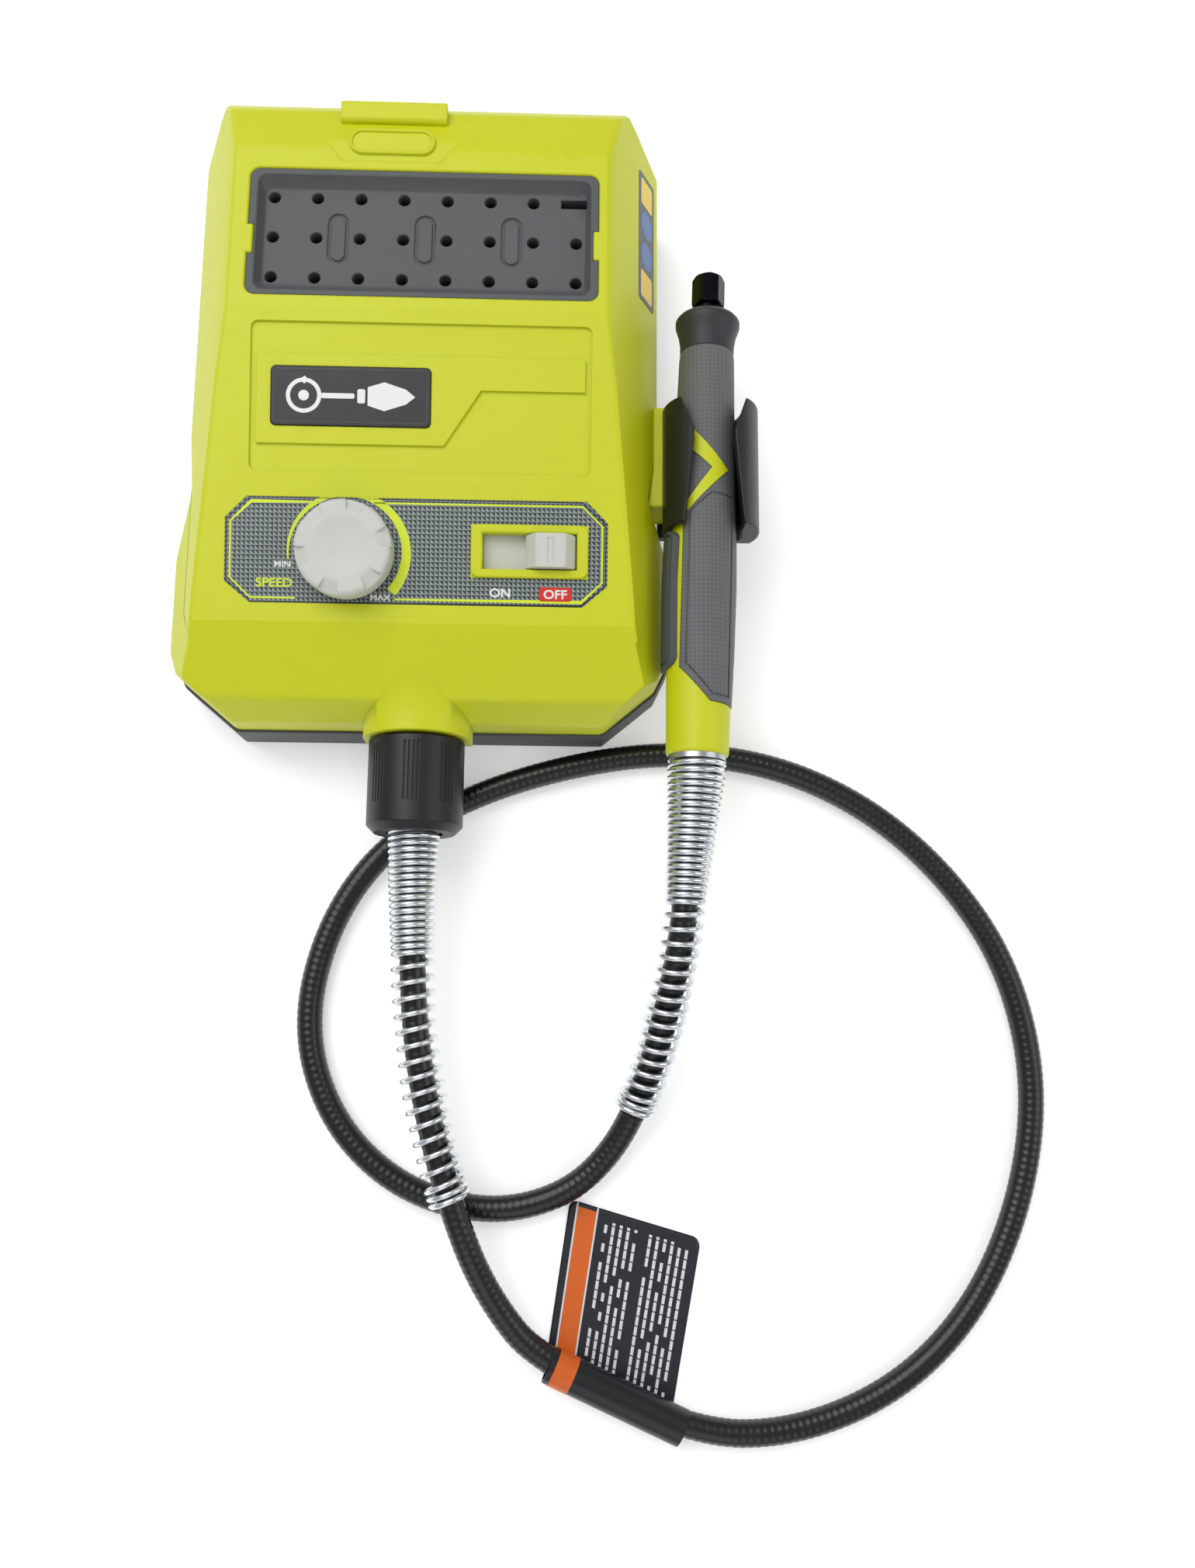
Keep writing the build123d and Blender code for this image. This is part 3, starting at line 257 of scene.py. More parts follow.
finishes = {
    "lime": moulded("limePlastic", "C8CE0A", 0.46, depth=0.1, shift=0.03),
    "grey": moulded("baseGrey", "45484A", 0.55, depth=0.2),
    "tray": moulded("trayGrey", "525557", 0.58, grain=2000, depth=0.22),
    "black": moulded("satinBlack", "101216", 0.4, depth=0.16),
    "nut": moulded("nutBlack", "0C0E13", 0.4, grain=2200, depth=0.14),
    "pale": moulded("knobWhite", "C9CAC4", 0.55, depth=0.1, shift=0.03),
    "badge": moulded("badgeBlack", "17191B", 0.42, depth=0.05),
    "print": crossPrint("panelPrint", 1.3 * mm, "2A3336", "8B9591"),
    "decal": printedFilm("sideDecal", "2F3338"),
    "film": printedFilm("tagFilm", "16171C", 0.34),
    "flag": flagPrint(),
    "orange": printedFilm("tagOrange", "D4601C"),
    "white": printedFilm("inkWhite", "E6E7E4"),
    "limeInk": printedFilm("inkLime", "D3E41C"),
    "redInk": printedFilm("inkRed", "D0291F"),
    "yellowInk": printedFilm("inkYellow", "E8C81E"),
    "blueInk": printedFilm("inkBlue", "2C62A8"),
    "grip": gripRubber("gripRubber", "5E6062", 1.25 * mm),
    "strip": moulded("stripGrey", "45484B", 0.6, depth=0.2),
    "foot": moulded("footRubber", "17181A", 0.8, depth=0.3),
    "cap": moulded("capGrey", "2B2D31", 0.52, depth=0.15),
    "wire": wireSteel(),
    "casing": casingRubber(),
    "steel": metal("turnedSteel", "B9BCC0", 0.3, brushed=1.0),
    "dark": metal("blackOxide", "15161A", 0.3),
    "pot": metal("potCan", "9EA2A6", 0.4),
    "magnet": metal("magnetGrey", "4A4B4F", 0.6),
    "brass": metal("brassContact", "C79B45", 0.3),
    "board": moulded("boardGreen", "1F5C33", 0.5),
}

nodeFinish = {
    "top_shell": "lime", "base_shell": "grey", "storage_tray": "tray", "battery_socket": "black",
    "battery_terminals": "brass", "casing_screws": "dark", "rubber_pads": "foot", "circuit_board": "board",
    "badge_plate": "badge", "control_label": "print", "side_label": "decal", "speed_knob": "pale",
    "pot_shaft": "steel", "speed_pot": "pot", "switch_bezel": "lime", "switch_slider": "pale",
    "switch_bed": "pale", "switch_body": "black", "motor_can": "pot", "motor_magnets": "magnet",
    "motor_endcap": "black", "cooling_fan": "black", "rotor_core": "pot", "motor_shaft": "steel",
    "commutator": "brass", "motor_front_bearing": "steel", "motor_rear_bearing": "steel",
    "drive_coupling": "steel", "outlet_collar": "black", "coupling_nut": "nut", "base_ferrule": "steel",
    "handpiece_body": "lime", "handpiece_grip": "grip", "side_strip": "strip", "chevron_inlay": "lime",
    "front_cap": "cap", "spindle": "dark", "collet": "steel", "collet_nut": "dark",
    "handpiece_rear_bearing": "steel", "handpiece_front_bearing": "steel", "drive_socket": "steel",
    "handpiece_ferrule": "steel", "holder_arm": "lime", "holder_clip": "black", "holder_screws": "dark",
    "flex_casing": "casing", "drive_core": "steel", "base_spring_guard": "wire",
    "handpiece_spring_guard": "wire", "label_sleeve": "film", "label_band": "orange", "label_flag": "flag",
}
for name, node in nodes.items():
    for place in range(max(1, len(node.material_slots))):
        if not node.material_slots:
            node.data.materials.append(None)
        node.material_slots[place].material = finishes[nodeFinish[name]]
print("finishes ready", len(finishes))


# camera, floor and soft lights
view = {"place": (0.04285, -0.1797, 0.4230), "target": (0.0538, -0.1032, 0.0), "roll": 0.52, "lens": 31.76}
eye = Vector(view["place"])
ahead = (Vector(view["target"]) - eye).normalized()
right = ahead.cross(Vector((0, 1, 0))).normalized()
up = right.cross(ahead)
roll = math.radians(view["roll"])
right, up = right * math.cos(roll) + up * math.sin(roll), up * math.cos(roll) - right * math.sin(roll)
cameraData = bpy.data.cameras.new("camera")
cameraData.sensor_fit = "VERTICAL"
cameraData.sensor_height = 36
cameraData.lens = view["lens"]
camera = bpy.data.objects.new("camera", cameraData)
camera.matrix_world = Matrix.Translation(eye) @ Matrix((right, up, -ahead)).transposed().to_4x4()
bpy.context.scene.collection.objects.link(camera)
bpy.context.scene.camera = camera

studio = {"floor": 3.0, "key": 7.6, "side": 2.2, "back": 1.7, "world": 0.42}
bpy.ops.object.select_all(action="DESELECT")
bpy.ops.mesh.primitive_plane_add(size=studio["floor"], location=(0.05, -0.1, -0.0002))
floor = bpy.context.active_object
floor.name = "floor"
paper = Finish("floorPaper", Roughness=0.9)
paper.set(Base_Color=paper.mix(paper.noise(6), tone("F8F8F8"), tone("FDFDFD")),
          Emission_Color=(1, 1, 1, 1), Emission_Strength=0.34)
floor.data.materials.append(paper.material)
for name, spot, size, power in (
        ("keySoftbox", (-0.35, 0.35, 1.0), 0.9, studio["key"]),
        ("sideSoftbox", (0.9, -0.1, 0.7), 0.7, studio["side"]),
        ("frontSoftbox", (0.0, -1.0, 0.7), 0.8, studio["back"])):
    lamp = bpy.data.lights.new(name, "AREA")
    lamp.size = size
    lamp.energy = power
    light = bpy.data.objects.new(name, lamp)
    light.location = spot
    light.rotation_euler = (Vector((0.04, -0.08, 0)) - Vector(spot)).to_track_quat("-Z", "Y").to_euler()
    bpy.context.scene.collection.objects.link(light)
world = bpy.data.worlds.new("studioSky")
world.use_nodes = True
world.node_tree.nodes["Background"].inputs[0].default_value = (1, 1, 1, 1)
world.node_tree.nodes["Background"].inputs[1].default_value = studio["world"]
bpy.context.scene.world = world
bpy.context.scene.view_settings.view_transform = "Standard"
print("camera and lights ready")


# making, choosing and finishing a piece
def clearSelection():
    if bpy.context.object and bpy.context.object.mode != "OBJECT":
        bpy.ops.object.mode_set(mode="OBJECT")
    bpy.ops.object.select_all(action="DESELECT")


def choose(piece):
    clearSelection()
    piece.select_set(True)
    bpy.context.view_layer.objects.active = piece


def newPiece(name, mesh, finish, body, *stands):
    piece = bpy.data.objects.new(name, mesh)
    bpy.context.scene.collection.objects.link(piece)
    piece.data.materials.clear()
    piece.data.materials.append(finishes[finish])
    if stands:
        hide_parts(*stands)
    if body:
        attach(piece, body)
    return piece


def applyAll(piece):
    choose(piece)
    for modifier in list(piece.modifiers):
        bpy.ops.object.modifier_apply(modifier=modifier.name)


def flatsLaidOut(mesh):
    # each flat region is laid out again from its outline alone, so no inner edge crosses a rounded rim
    work = bmesh.new()
    work.from_mesh(mesh)
    work.normal_update()
    level = math.cos(math.radians(0.6))
    covered = {}
    for a, b, c in work.calc_loop_triangles():
        size = (b.vert.co - a.vert.co).cross(c.vert.co - a.vert.co).length / 2
        covered[a.face] = covered.get(a.face, 0) + size
    folded = {face for face, size in covered.items() if size - face.calc_area() > 0.02 * mm * mm}
    seen = set()
    for face in sorted(work.faces, key=lambda f: -f.calc_area()):
        if not face.is_valid or face in seen:
            continue
        up, spot = face.normal.copy(), face.verts[0].co.copy()
        group, todo = {face: None}, [face]
        seen.add(face)
        while todo:
            for edge in todo.pop().edges:
                for other in edge.link_faces:
                    if other not in seen and abs(other.normal.dot(up)) > level and all(
                            abs((v.co - spot).dot(up)) < 0.02 * mm for v in other.verts):
                        seen.add(other)
                        group[other] = None
                        todo.append(other)
        if not any(member in folded for member in group):
            continue
        rim = {}
        for member in group:
            for edge in member.edges:
                if sum(f in group for f in edge.link_faces) == 1:
                    rim[edge] = None
        corners = list({v: None for edge in rim for v in edge.verts})
        order = {v: i for i, v in enumerate(corners)}
        across = up.orthogonal().normalized()
        along = up.cross(across)
        flat = [Vector(((v.co - spot).dot(across) / mm, (v.co - spot).dot(along) / mm)) for v in corners]
        rimPairs = [tuple(order[v] for v in edge.verts) for edge in rim]
        laid = delaunay_2d_cdt(flat, rimPairs, [], 0, 0.00001)
        walls = [(*flat[i], *flat[j]) for i, j in rimPairs]
        made = []
        for place, came in zip(laid[0], laid[3]):
            made.append(corners[came[0]] if came else work.verts.new(
                spot + (across * place.x + along * place.y) * mm))
        bmesh.ops.delete(work, geom=list(group), context="FACES_ONLY")
        for tile in laid[2]:
            x, y = sum((laid[0][i] for i in tile), Vector((0, 0))) / 3
            crossed = sum((ay > y) != (by > y) and x < (bx - ax) * (y - ay) / (by - ay) + ax
                          for ax, ay, bx, by in walls)
            if crossed % 2 == 0:  # a hole, or outside the outline
                continue
            a, b, c = (made[i] for i in tile)
            if (b.co - a.co).cross(c.co - a.co).dot(up) < 0:
                b, c = c, b
            if len({a, b, c}) == 3 and work.faces.get((a, b, c)) is None:
                fresh = work.faces.new((a, b, c))
                fresh.smooth = True
                seen.add(fresh)
    bmesh.ops.delete(work, geom=[e for e in work.edges if not e.link_faces], context="EDGES")
    bmesh.ops.delete(work, geom=[v for v in work.verts if not v.link_faces], context="VERTS")
    for reach in (0.002, 0.006):  # a point that lies on a neighbour's edge is sewn into that edge
        loose = [e for e in work.edges if len(e.link_faces) == 1]
        ends = list({v: None for e in loose for v in e.verts})
        for edge in loose:
            start, end = edge.verts
            line = end.co - start.co
            if line.length < 0.0001 * mm:
                continue
            found = []
            for v in ends:
                if v is start or v is end:
                    continue
                share = (v.co - start.co).dot(line) / line.length_squared
                if 0.0005 < share < 0.9995 and (start.co + line * share - v.co).length < reach * mm:
                    found.append((share, v.co.copy()))
            done = 0.0
            for share, co in sorted(found, key=lambda item: item[0]):
                if share - done < 0.0005:
                    continue
                edge, fresh = bmesh.utils.edge_split(edge, start, (share - done) / (1 - done))
                fresh.co = co
                edge = next(e for e in fresh.link_edges if end in e.verts)
                start, done = fresh, share
        ends = list({v: None for e in work.edges if len(e.link_faces) == 1 for v in e.verts})
        bmesh.ops.remove_doubles(work, verts=ends, dist=reach * mm)
    work.to_mesh(mesh)
    work.free()


def softened(node, width, body, segments=2, angle=24, share=None, join=0.012):
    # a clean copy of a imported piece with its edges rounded, share says how much at each place
    source = nodes[node]
    mesh = source.data.copy()
    work = bmesh.new()
    work.from_mesh(mesh)
    bmesh.ops.remove_doubles(work, verts=work.verts, dist=join * mm)
    bmesh.ops.dissolve_limit(work, angle_limit=math.radians(0.7), verts=work.verts, edges=work.edges)
    weight = work.edges.layers.float.new("bevel_weight_edge")
    for edge in work.edges:
        if edge.calc_face_angle(0) > math.radians(angle) and edge.is_convex:
            edge[weight] = share((edge.verts[0].co + edge.verts[1].co) / 2 / mm) if share else 1.0
    work.to_mesh(mesh)
    work.free()
    pieceName = "".join(w if i == 0 else w.title() for i, w in enumerate(node.split("_")))
    if "_" not in node:
        pieceName += "Turned"
    piece = newPiece(pieceName, mesh, nodeFinish[node], None, node)
    bevel = piece.modifiers.new("edges", "BEVEL")
    bevel.width = width * mm
    bevel.segments = segments
    bevel.limit_method = "WEIGHT"
    bevel.use_clamp_overlap = False
    choose(piece)
    bpy.ops.object.shade_smooth_by_angle(angle=math.radians(38))
    applyAll(piece)
    skin = BVHTree.FromPolygons([v.co for v in source.data.vertices],
                                [tuple(face.vertices) for face in source.data.polygons])
    strays = 0
    for v in piece.data.vertices:  # a rounded edge that ran past its corner goes back to the surface
        spot, _, _, gap = skin.find_nearest(v.co)
        if gap > max(0.6 * width, 0.15) * mm:
            v.co = spot
            strays += 1
    if strays:
        print("held", strays, "points of", node)
    flatsLaidOut(piece.data)
    weighted = piece.modifiers.new("normals", "WEIGHTED_NORMAL")
    weighted.keep_sharp = True
    applyAll(piece)
    if body:
        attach(piece, body)
    return piece


# the flexible casing lies along one smooth route, its springs follow it
route = [
    (0, -0.116, 0.0235), (0, -0.146, 0.0235), (0.0015, -0.178, 0.022), (0.0065, -0.206, 0.020),
    (0.016, -0.236, 0.0175), (0.025, -0.255, 0.010), (0.038, -0.271, 0.0055), (0.083, -0.291, 0.0054),
    (0.112, -0.291, 0.004), (0.142, -0.279, 0.004), (0.165, -0.257, 0.004), (0.180, -0.226, 0.004),
    (0.1855, -0.192, 0.004), (0.1785, -0.158, 0.004), (0.161, -0.131, 0.004), (0.137, -0.110, 0.004),
    (0.108, -0.097, 0.004), (0.076, -0.0935, 0.004), (0.044, -0.0985, 0.004), (0.014, -0.1085, 0.004),
    (-0.011, -0.124, 0.004), (-0.027, -0.148, 0.004), (-0.033, -0.178, 0.004), (-0.024, -0.205, 0.004),
    (-0.004, -0.224, 0.004), (0.022, -0.2315, 0.004), (0.045, -0.2265, 0.0045), (0.060, -0.2125, 0.0075),
    (0.069, -0.192, 0.014), (0.074, -0.172, 0.023), (0.0774, -0.152, 0.0306), (0.0795, -0.128, 0.0329),
    (0.0814, -0.1045, 0.034),
]
casing = {"radius": 3.8, "ribPitch": 2.12, "ribDepth": 0.13, "around": 20, "tailFrom": 28}
spring = {"wire": 1.72, "closedPitch": 1.95, "closedTurns": 21, "around": 10, "perTurn": 30,
          "base": {"wide": 7.75, "bulge": 0.1, "narrow": 6.3, "length": 111, "openPitch": 4.45},
          "hand": {"wide": 8.6, "bulge": 0.0, "narrow": 6.2, "length": 104.5, "openPitch": 3.95}}


def smoothLine(points):
    # points along the smooth line that has the given points as its control points
    data = bpy.data.curves.new("guide", "CURVE")
    data.dimensions = "3D"
    data.resolution_u = 40
    line = data.splines.new("NURBS")
    line.points.add(len(points) - 1)
    for target, point in zip(line.points, points):
        target.co = (*point, 1)
    line.order_u = 3
    line.use_endpoint_u = True
    guide = bpy.data.objects.new("guide", data)
    mesh = bpy.data.meshes.new_from_object(guide)
    found = [v.co.copy() for v in mesh.vertices]
    bpy.data.objects.remove(guide)
    bpy.data.meshes.remove(mesh)
    return found


class Track:
    # distance along a line, with a frame that doesn't twist
    def __init__(self, line):
        self.points = line
        self.reach = [0.0]
        self.sides = []
        for a, b in zip(line, line[1:]):
            self.reach.append(self.reach[-1] + (b - a).length)
        heading = (line[1] - line[0]).normalized()
        side = heading.cross(Vector((0, 0, 1))).normalized()
        for a, b in zip(line, line[1:]):
            heading = (b - a).normalized()
            side = (side - heading * side.dot(heading)).normalized()
            self.sides.append(side)
        self.sides.append(side)
        self.length = self.reach[-1]
        self.last = 0

    def at(self, distance):
        distance = min(max(distance, 0.0), self.length)
        if self.reach[self.last] > distance:
            self.last = 0
        while self.last < len(self.points) - 2 and self.reach[self.last + 1] < distance:
            self.last += 1
        i = self.last
        share = (distance - self.reach[i]) / (self.reach[i + 1] - self.reach[i])
        centre = self.points[i].lerp(self.points[i + 1], share)
        before = self.points[max(i - 1, 0)]
        after = self.points[min(i + 2, len(self.points) - 1)]
        heading = (self.points[i + 1] - self.points[i]).lerp(after - before, 0.5).normalized()
        side = self.sides[i].lerp(self.sides[i + 1], share)
        side = (side - heading * side.dot(heading)).normalized()
        return centre, heading, side, heading.cross(side)


def tubeMesh(name, stations, around):
    # stations are (centre, side, up, radius, distance)
    work = bmesh.new()
    rings = []
    for centre, side, above, radius, _ in stations:
        ring = []
        for k in range(around):
            turn = 2 * math.pi * k / around
            ring.append(work.verts.new(centre + (side * math.cos(turn) + above * math.sin(turn)) * radius))
        rings.append(ring)
    layer = work.loops.layers.uv.new("along")
    for i in range(len(rings) - 1):
        for k in range(around):
            n = (k + 1) % around
            face = work.faces.new((rings[i][k], rings[i][n], rings[i + 1][n], rings[i + 1][k]))
            face.smooth = True
            marks = ((k, i), (k + 1, i), (k + 1, i + 1), (k, i + 1))
            for loop, (u, v) in zip(face.loops, marks):
                loop[layer].uv = (u / around, stations[v][4])
    work.faces.new(rings[0][::-1])
    work.faces.new(rings[-1])
    bmesh.ops.recalc_face_normals(work, faces=work.faces)
    mesh = bpy.data.meshes.new(name)
    work.to_mesh(mesh)
    work.free()
    return mesh


def casingMesh(name, track, start=0.0):
    rib = casing["ribPitch"] * mm
    steps = int(track.length / rib * 4)
    stations = []
    for i in range(steps + 1):
        distance = track.length * i / steps
        centre, heading, side, above = track.at(distance)
        dip = 0.5 - 0.5 * math.cos(2 * math.pi * (distance + start) / rib)
        radius = (casing["radius"] - casing["ribDepth"] * dip) * mm
        stations.append((centre, side, above, radius, distance + start))
    return tubeMesh(name, stations, casing["around"])


middle = tuple((a + b) / 2 for a, b in zip(route[casing["tailFrom"]], route[casing["tailFrom"] - 1]))
mainTrack = Track(smoothLine(route[:casing["tailFrom"]] + [middle]))
tailTrack = Track(smoothLine(route[:casing["tailFrom"] - 1:-1] + [middle]))
sleeveEnd = Vector((0.08149, -0.1013, 0.034))
coilTrack = Track([sleeveEnd] + tailTrack.points)
flexCasing = newPiece("flexCasing", casingMesh("flexCasing", mainTrack), "casing", "base_unit", "flex_casing")
flexTail = newPiece("flexTail", casingMesh("flexTail", tailTrack), "casing", None, "flex_casing")
print("casing", round(mainTrack.length, 4), round(tailTrack.length, 4))

core = {"radius": 2.0, "step": 2.0, "around": 14, "motorEnd": (0, -0.086, 0.0235),
        "handEnd": (0.08187, -0.0875, 0.034)}


def coreMesh(name, track):
    stations = []
    steps = int(track.length / (core["step"] * mm))
    for i in range(steps + 1):
        centre, heading, side, above = track.at(track.length * i / steps)
        stations.append((centre, side, above, core["radius"] * mm, track.length * i / steps))
    return tubeMesh(name, stations, core["around"])


coreMain = coreMesh("driveCore", Track([Vector(core["motorEnd"])] + mainTrack.points))
driveCore = newPiece("driveCore", coreMain, "steel", "base_unit", "drive_core")
coreEnd = coreMesh("driveCoreTail", Track([Vector(core["handEnd"])] + tailTrack.points))
driveCoreTail = newPiece("driveCoreTail", coreEnd, "steel", None, "drive_core")


def coilMesh(name, track, sizes):
    wire = spring["wire"] / 2
    closed = spring["closedTurns"] * spring["closedPitch"]
    tail = 2.2 * spring["closedPitch"]
    openRun = sizes["length"] - closed - tail
    openTurns = round(openRun / sizes["openPitch"])
    total = spring["closedTurns"] + openTurns + 2.2
    count = int(total * spring["perTurn"])
    stations = []
    path = []
    for i in range(count + 1):
        turns = total * i / count
        if turns <= spring["closedTurns"]:
            distance = turns * spring["closedPitch"]
            share = distance / closed
            swell = math.sin(math.pi * min(1.0, share * 1.7)) * sizes["bulge"]
            outer = sizes["wide"] + (sizes["narrow"] - sizes["wide"]) * share ** 1.15 + swell
        elif turns <= spring["closedTurns"] + openTurns:
            distance = closed + (turns - spring["closedTurns"]) * openRun / openTurns
            outer = sizes["narrow"] + 0.16 * math.sin(turns * 0.9)
        else:
            distance = closed + openRun + (turns - spring["closedTurns"] - openTurns) * spring["closedPitch"]
            outer = sizes["narrow"] + 0.05
        centre, heading, side, above = track.at((distance + wire) * mm)
        turn = 2 * math.pi * turns
        radial = side * math.cos(turn) + above * math.sin(turn)
        path.append((centre + radial * (outer - wire) * mm, radial))
    reach = 0.0
    for i, (point, radial) in enumerate(path):
        ahead = path[min(i + 1, count)][0] - path[max(i - 1, 0)][0]
        ahead.normalize()
        side = (radial - ahead * radial.dot(ahead)).normalized()
        if i:
            reach += (point - path[i - 1][0]).length
        size = wire * mm * (0.55 if i in (0, count) else 1.0)
        stations.append((point, side, ahead.cross(side), size, reach))
    return tubeMesh(name, stations, spring["around"])


baseSpring = newPiece("baseSpring", coilMesh("baseSpring", mainTrack, spring["base"]), "wire", "base_unit",
                      "base_spring_guard")
handSpring = newPiece("handSpring", coilMesh("handSpring", coilTrack, spring["hand"]), "wire", None,
                      "handpiece_spring_guard")
for piece in (flexTail, handSpring, driveCoreTail):
    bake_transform(piece)
print("springs ready")


# the tag folds round the casing
def flagMesh():
    # a thin film, a little curled along its free edge
    sizes = {"corners": [(40.5, -272), (76.5, -288.2), (85.4, -238.5), (46.8, -227.5)], "round": 2.5,
             "low": 0.12, "thick": 0.22, "curl": 0.5}
    a, b, c, d = [Vector((*p, 0)) for p in sizes["corners"]]
    work = bmesh.new()
    across, along = 36, 44
    grid = {}
    layer = work.loops.layers.uv.new("flat")
    width, height = (b - a).length, (d - a).length
    for i in range(across + 1):
        for j in range(along + 1):
            s, t = i / across, j / along
            x, y = s * width, t * height
            cx = min(max(x, sizes["round"]), width - sizes["round"])
            cy = min(max(y, sizes["round"]), height - sizes["round"])
            off = Vector((x - cx, y - cy))
            if abs(off.x) > 0 and abs(off.y) > 0:
                longest = max(abs(off.x), abs(off.y))
                off = off * (longest / off.length)
                s, t = (cx + off.x) / width, (cy + off.y) / height
            low = a.lerp(b, s)
            high = d.lerp(c, s)
            point = low.lerp(high, t)
            lift = sizes["low"] + sizes["curl"] * (t ** 3 * (0.4 + 0.6 * math.sin(3.1 * s + 0.4) ** 2))
            grid[i, j] = work.verts.new((point.x * mm, point.y * mm, lift * mm))
            grid[i, j, "uv"] = (s * 0.0395, t * 0.0561)
    for i in range(across):
        for j in range(along):
            keys = ((i, j), (i + 1, j), (i + 1, j + 1), (i, j + 1))
            face = work.faces.new([grid[k] for k in keys])
            face.smooth = True
            for loop, k in zip(face.loops, keys):
                loop[layer].uv = grid[(*k, "uv")]
    mesh = bpy.data.meshes.new("labelFlag")
    work.to_mesh(mesh)
    work.free()
    return mesh, sizes["thick"]


flagData, filmThickness = flagMesh()
labelFlag = newPiece("labelFlag", flagData, "flag", None, "label_flag")
film = labelFlag.modifiers.new("film", "SOLIDIFY")
film.thickness = filmThickness * mm
film.offset = 1
applyAll(labelFlag)
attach(labelFlag, "base_unit")
labelSleeve = softened("label_sleeve", 0.15, "base_unit", angle=40)
labelBand = softened("label_band", 0.05, "base_unit", angle=40)
print("tag ready")

# moulded housings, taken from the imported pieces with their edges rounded
def shellShare(at):
    # broad rounding on the outer form, fine rounding on the printed panel, frame and tray opening
    if at.z < 16.5:
        return 0.0
    if abs(at.x) < 57 and -66 < at.y < 24 and at.z > 38:
        return 0.14
    if abs(at.x - 1) < 51 and abs(at.y - 45.5) < 21:
        return 0.45
    if abs(at.x + 9) < 24 and at.y > 66 or abs(at.x) < 20 and at.y < -66 or at.x > 60 and abs(at.x - 66) < 8:
        return 0.3
    return 1.0


def bezelShare(at):
    lean = math.radians(9.5)
    return 1.0 if (at.z - 60 + (22 - at.y) * math.tan(lean)) * math.cos(lean) > 0.9 else 0.0


softened("top_shell", 1.3, "base_unit", segments=3, angle=12, share=shellShare)
softened("base_shell", 0.5, "base_unit", angle=24)
softened("storage_tray", 0.3, "base_unit", angle=24)
for node, width, body in (
        ("badge_plate", 0.3, "base_unit"), ("speed_knob", 0.4, "knob"),
        ("switch_slider", 0.45, "slider"), ("coupling_nut", 0.1, "outlet_nut"),
        ("handpiece_body", 0.3, "handpiece"), ("handpiece_grip", 0.16, "handpiece"),
        ("side_strip", 0.14, "handpiece"), ("chevron_inlay", 0.12, "handpiece"),
        ("front_cap", 0.3, "handpiece"), ("collet_nut", 0.3, "chuck_nut"), ("holder_arm", 0.6, "base_unit"),
        ("holder_clip", 0.55, "base_unit"), ("spindle", 0.12, "spindle_set"),
        ("casing_screws", 0.2, "base_unit"), ("rubber_pads", 0.3, "base_unit")):
    softened(node, width, body)
softened("switch_bezel", 0.55, "base_unit", segments=3, share=bezelShare)
print("housings ready")

# ink on the control panel
print("printing the panel")
panel = {"tilt": 9.5, "ridgeY": 22, "topZ": 60, "label": (0.8, -46), "knob": (-18.9, -46.5),
         "inset": (52.5, 13.6), "cut": (5.8, 5.6), "line": 0.5, "ink": 0.035}


def onPanel(x, y, height=-0.1):
    tilt = math.radians(panel["tilt"])
    z = panel["topZ"] - (panel["ridgeY"] - y) * math.tan(tilt)
    lift = Vector((0, -math.sin(tilt), math.cos(tilt))) * height
    return Matrix.Translation((Vector((x, y, z)) + lift) * mm) @ Matrix.Rotation(tilt, 4, "X")


def inkPiece(name, shapes, place, finish, body="base_unit", thick=None):
    # closed outlines in mm, laid on a plane and given the thickness of a coat of ink
    work = bmesh.new()
    for shape in shapes:
        work.faces.new([work.verts.new((x * mm, y * mm, 0)) for x, y in shape])
    for face in work.faces:
        if face.normal.z < 0:
            face.normal_flip()
    bmesh.ops.recalc_face_normals(work, faces=work.faces)
    for face in work.faces:
        face.normal_update()
        if face.normal.z < 0:
            face.normal_flip()
    mesh = bpy.data.meshes.new(name)
    work.to_mesh(mesh)
    work.free()
    mesh.transform(place)
    piece = newPiece(name, mesh, finish, None)
    coat = piece.modifiers.new("coat", "SOLIDIFY")
    coat.thickness = (thick or panel["ink"]) * mm
    coat.offset = 1
    applyAll(piece)
    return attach(piece, body)


def stroke(points, widths):
    # quads along a line of points, each with its own width
    sides = []
    for i, (x, y) in enumerate(points):
        ax, ay = points[max(i - 1, 0)]
        bx, by = points[min(i + 1, len(points) - 1)]
        run = math.hypot(bx - ax, by - ay)
        nx, ny = -(by - ay) / run, (bx - ax) / run
        half = widths[i] / 2
        if 0 < i < len(points) - 1:
            first = math.atan2(y - ay, x - ax)
            second = math.atan2(by - y, bx - x)
            half /= max(0.5, math.cos((second - first) / 2))
        sides.append(((x + nx * half, y + ny * half), (x - nx * half, y - ny * half)))
    return [(a[0], a[1], b[1], b[0]) for a, b in zip(sides, sides[1:])]


def rounded(cx, cy, width, height, radius, steps=6):
    shape = []
    for sx, sy, start in ((1, 1, 0), (-1, 1, 90), (-1, -1, 180), (1, -1, 270)):
        for k in range(steps + 1):
            turn = math.radians(start + 90 * k / steps)
            shape.append((cx + sx * (width / 2 - radius) + radius * math.cos(turn),
                          cy + sy * (height / 2 - radius) + radius * math.sin(turn)))
    return shape


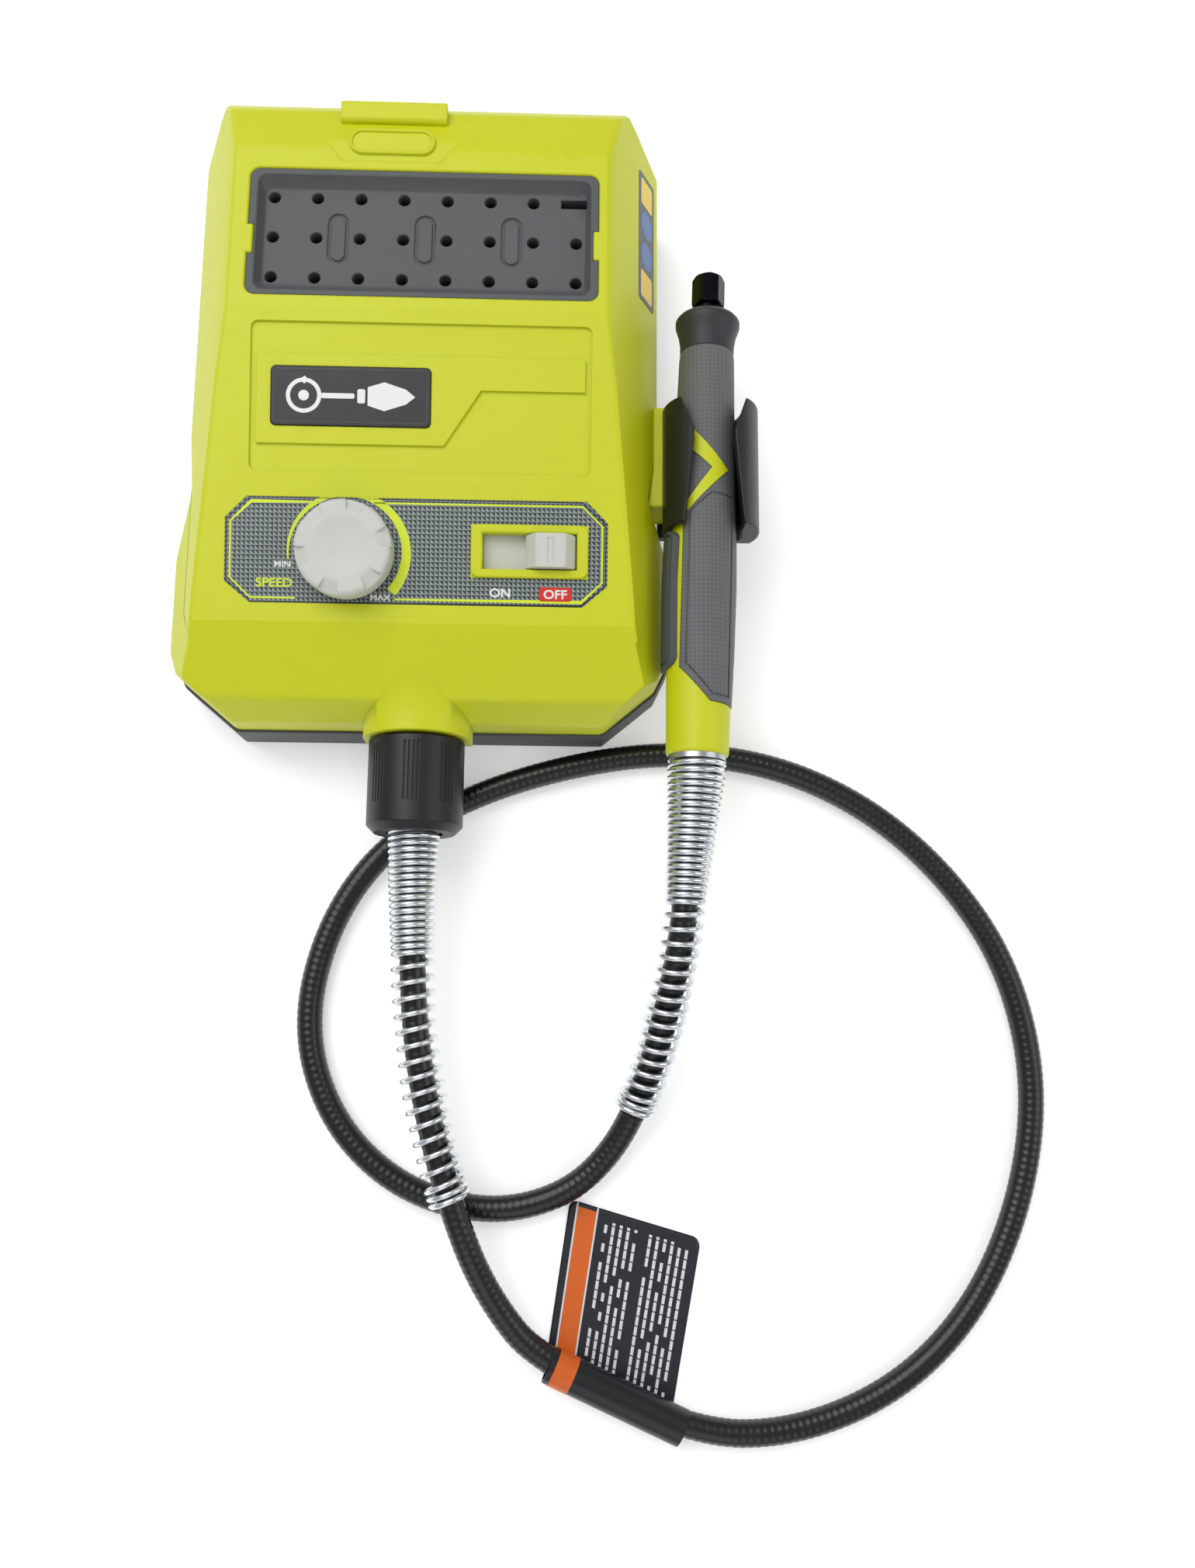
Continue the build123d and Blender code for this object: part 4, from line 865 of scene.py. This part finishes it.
lx, ly = panel["label"]
wide, high = panel["inset"]
cutX, cutY = panel["cut"]
leftLine = [(-27.0 - lx, high), (cutX - wide, high), (-wide, high - cutY), (-wide, cutY - high),
            (cutX - wide, -high), (-33.3 - lx, -high)]
rightLine = [(-11.4 - lx, high), (wide - cutX, high), (wide, high - cutY), (wide, cutY - high),
             (wide - cutX, -high), (-5.3 - lx, -high)]
lines = []
for line in (leftLine, rightLine):
    lines += stroke(line, [panel["line"]] * len(line))
inkPiece("insetLine", lines, onPanel(lx, ly), "limeInk")
edge = [(-47.0, 14.7), (46.9, 14.7), (53.5, 8.6), (53.5, -8.8), (46.6, -14.7), (-46.6, -14.7), (-53.5, -8.8),
        (-53.5, 8.6), (-47.2, 14.7)]
inkPiece("edgeLine", stroke(edge, [0.3] * len(edge)), onPanel(lx, ly), "film")

scale = {"radius": 16.6, "from": 187, "to": -41, "thin": 0.4, "thick": 3.0, "steps": 72}
arc, widths = [], []
for k in range(scale["steps"] + 1):
    share = k / scale["steps"]
    turn = math.radians(scale["from"] + (scale["to"] - scale["from"]) * share)
    width = scale["thin"] + (scale["thick"] - scale["thin"]) * share ** 0.8
    reach = scale["radius"] + (width - scale["thin"]) * 0.08
    arc.append((reach * math.cos(turn), reach * math.sin(turn)))
    widths.append(width)
inkPiece("speedArc", stroke(arc, widths), onPanel(*panel["knob"]), "limeInk")
inkPiece("offPatch", [rounded(0, 0, 9.2, 4.0, 0.7)], onPanel(40.1, -57.3), "redInk")


def lettering(name, words, x, y, capHeight, finish, lift=0.0, stretch=1.0):
    clearSelection()
    bpy.ops.object.text_add()
    writing = bpy.context.active_object
    writing.data.body = words
    writing.data.align_x = "CENTER"
    writing.data.align_y = "CENTER"
    writing.data.offset = 0.022
    writing.data.extrude = 0.01
    writing.data.resolution_u = 4
    bpy.ops.object.convert(target="MESH")
    mesh = writing.data.copy()
    bpy.data.objects.remove(writing)
    tall = max(v.co.y for v in mesh.vertices) - min(v.co.y for v in mesh.vertices)
    middleY = (max(v.co.y for v in mesh.vertices) + min(v.co.y for v in mesh.vertices)) / 2
    gain = capHeight * mm / tall
    mesh.transform(Matrix.Translation((0, -middleY, 0)))
    mesh.transform(Matrix.Diagonal((gain * stretch, gain, panel["ink"] * mm / 0.02, 1)))
    mesh.transform(onPanel(x, y, -0.1 + lift + panel["ink"] / 2))
    work = bmesh.new()
    work.from_mesh(mesh)
    bmesh.ops.remove_doubles(work, verts=work.verts, dist=0.0000005)
    work.to_mesh(mesh)
    work.free()
    piece = newPiece(name, mesh, finish, None)
    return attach(piece, "base_unit")


lettering("minWord", "MIN", -36.9, -50.0, 1.75, "white", stretch=1.1)
lettering("speedWord", "SPEED", -39.2, -55.2, 2.55, "limeInk", stretch=1.12)
lettering("maxWord", "MAX", -9.3, -58.9, 1.75, "white", stretch=1.1)
lettering("onWord", "ON", 24.5, -57.1, 2.6, "white", stretch=1.1)
lettering("offWord", "OFF", 40.1, -57.3, 2.6, "white", lift=panel["ink"], stretch=1.1)

# plain emblem on the badge: a ring, a shaft and a burr
badge = {"at": (-18.4, -3.0), "high": 0.5, "ring": 4.4, "stroke": 1.15}
ring = [(badge["ring"] * math.cos(math.radians(a)) - 13.2, badge["ring"] * math.sin(math.radians(a)))
        for a in range(0, 361, 8)]
emblem = stroke(ring, [badge["stroke"]] * len(ring))
emblem += [rounded(-13.2, 0, 3.0, 3.0, 1.49), rounded(-3.6, 0, 9.4, 1.5, 0.5), rounded(3.0, 0, 2.2, 4.0, 0.5)]
emblem += [[(4.8, -2.6), (9.5, -4.1), (15.6, -2.1), (18.2, 0), (15.6, 2.1), (9.5, 4.1), (4.8, 2.6)]]
inkPiece("badgeEmblem", emblem, onPanel(*badge["at"], badge["high"] + 0.001), "white", thick=0.12)
border = rounded(0, 0, 43.2, 15.0, 1.1)
inkPiece("badgeBorder", stroke(border + border[:1], [0.28] * (len(border) + 1)),
         onPanel(*badge["at"], badge["high"] + 0.001), "strip", thick=0.08)

# plain colour patches on the side strip
lean = math.pi / 2 - math.atan2(7.5, 16)
outward = Vector((math.sin(lean), 0, math.cos(lean)))
sidePlace = Matrix.Translation((Vector((66.25, 58, 38)) + outward * 0.002) * mm) @ Matrix((
    (0, 1, 0), outward.cross(Vector((0, 1, 0))), outward)).transposed().to_4x4()
patch = {"yellow": (-15.2, 15.2), "blue": (-5.1, 5.1)}
inkPiece("yellowPatches", [rounded(x, 0, 8.6, 8.8, 1.0) for x in patch["yellow"]], sidePlace, "yellowInk")
inkPiece("bluePatches", [rounded(x, 0, 8.6, 8.6, 4.29, 12) for x in patch["blue"]], sidePlace, "blueInk")
print("print ready")
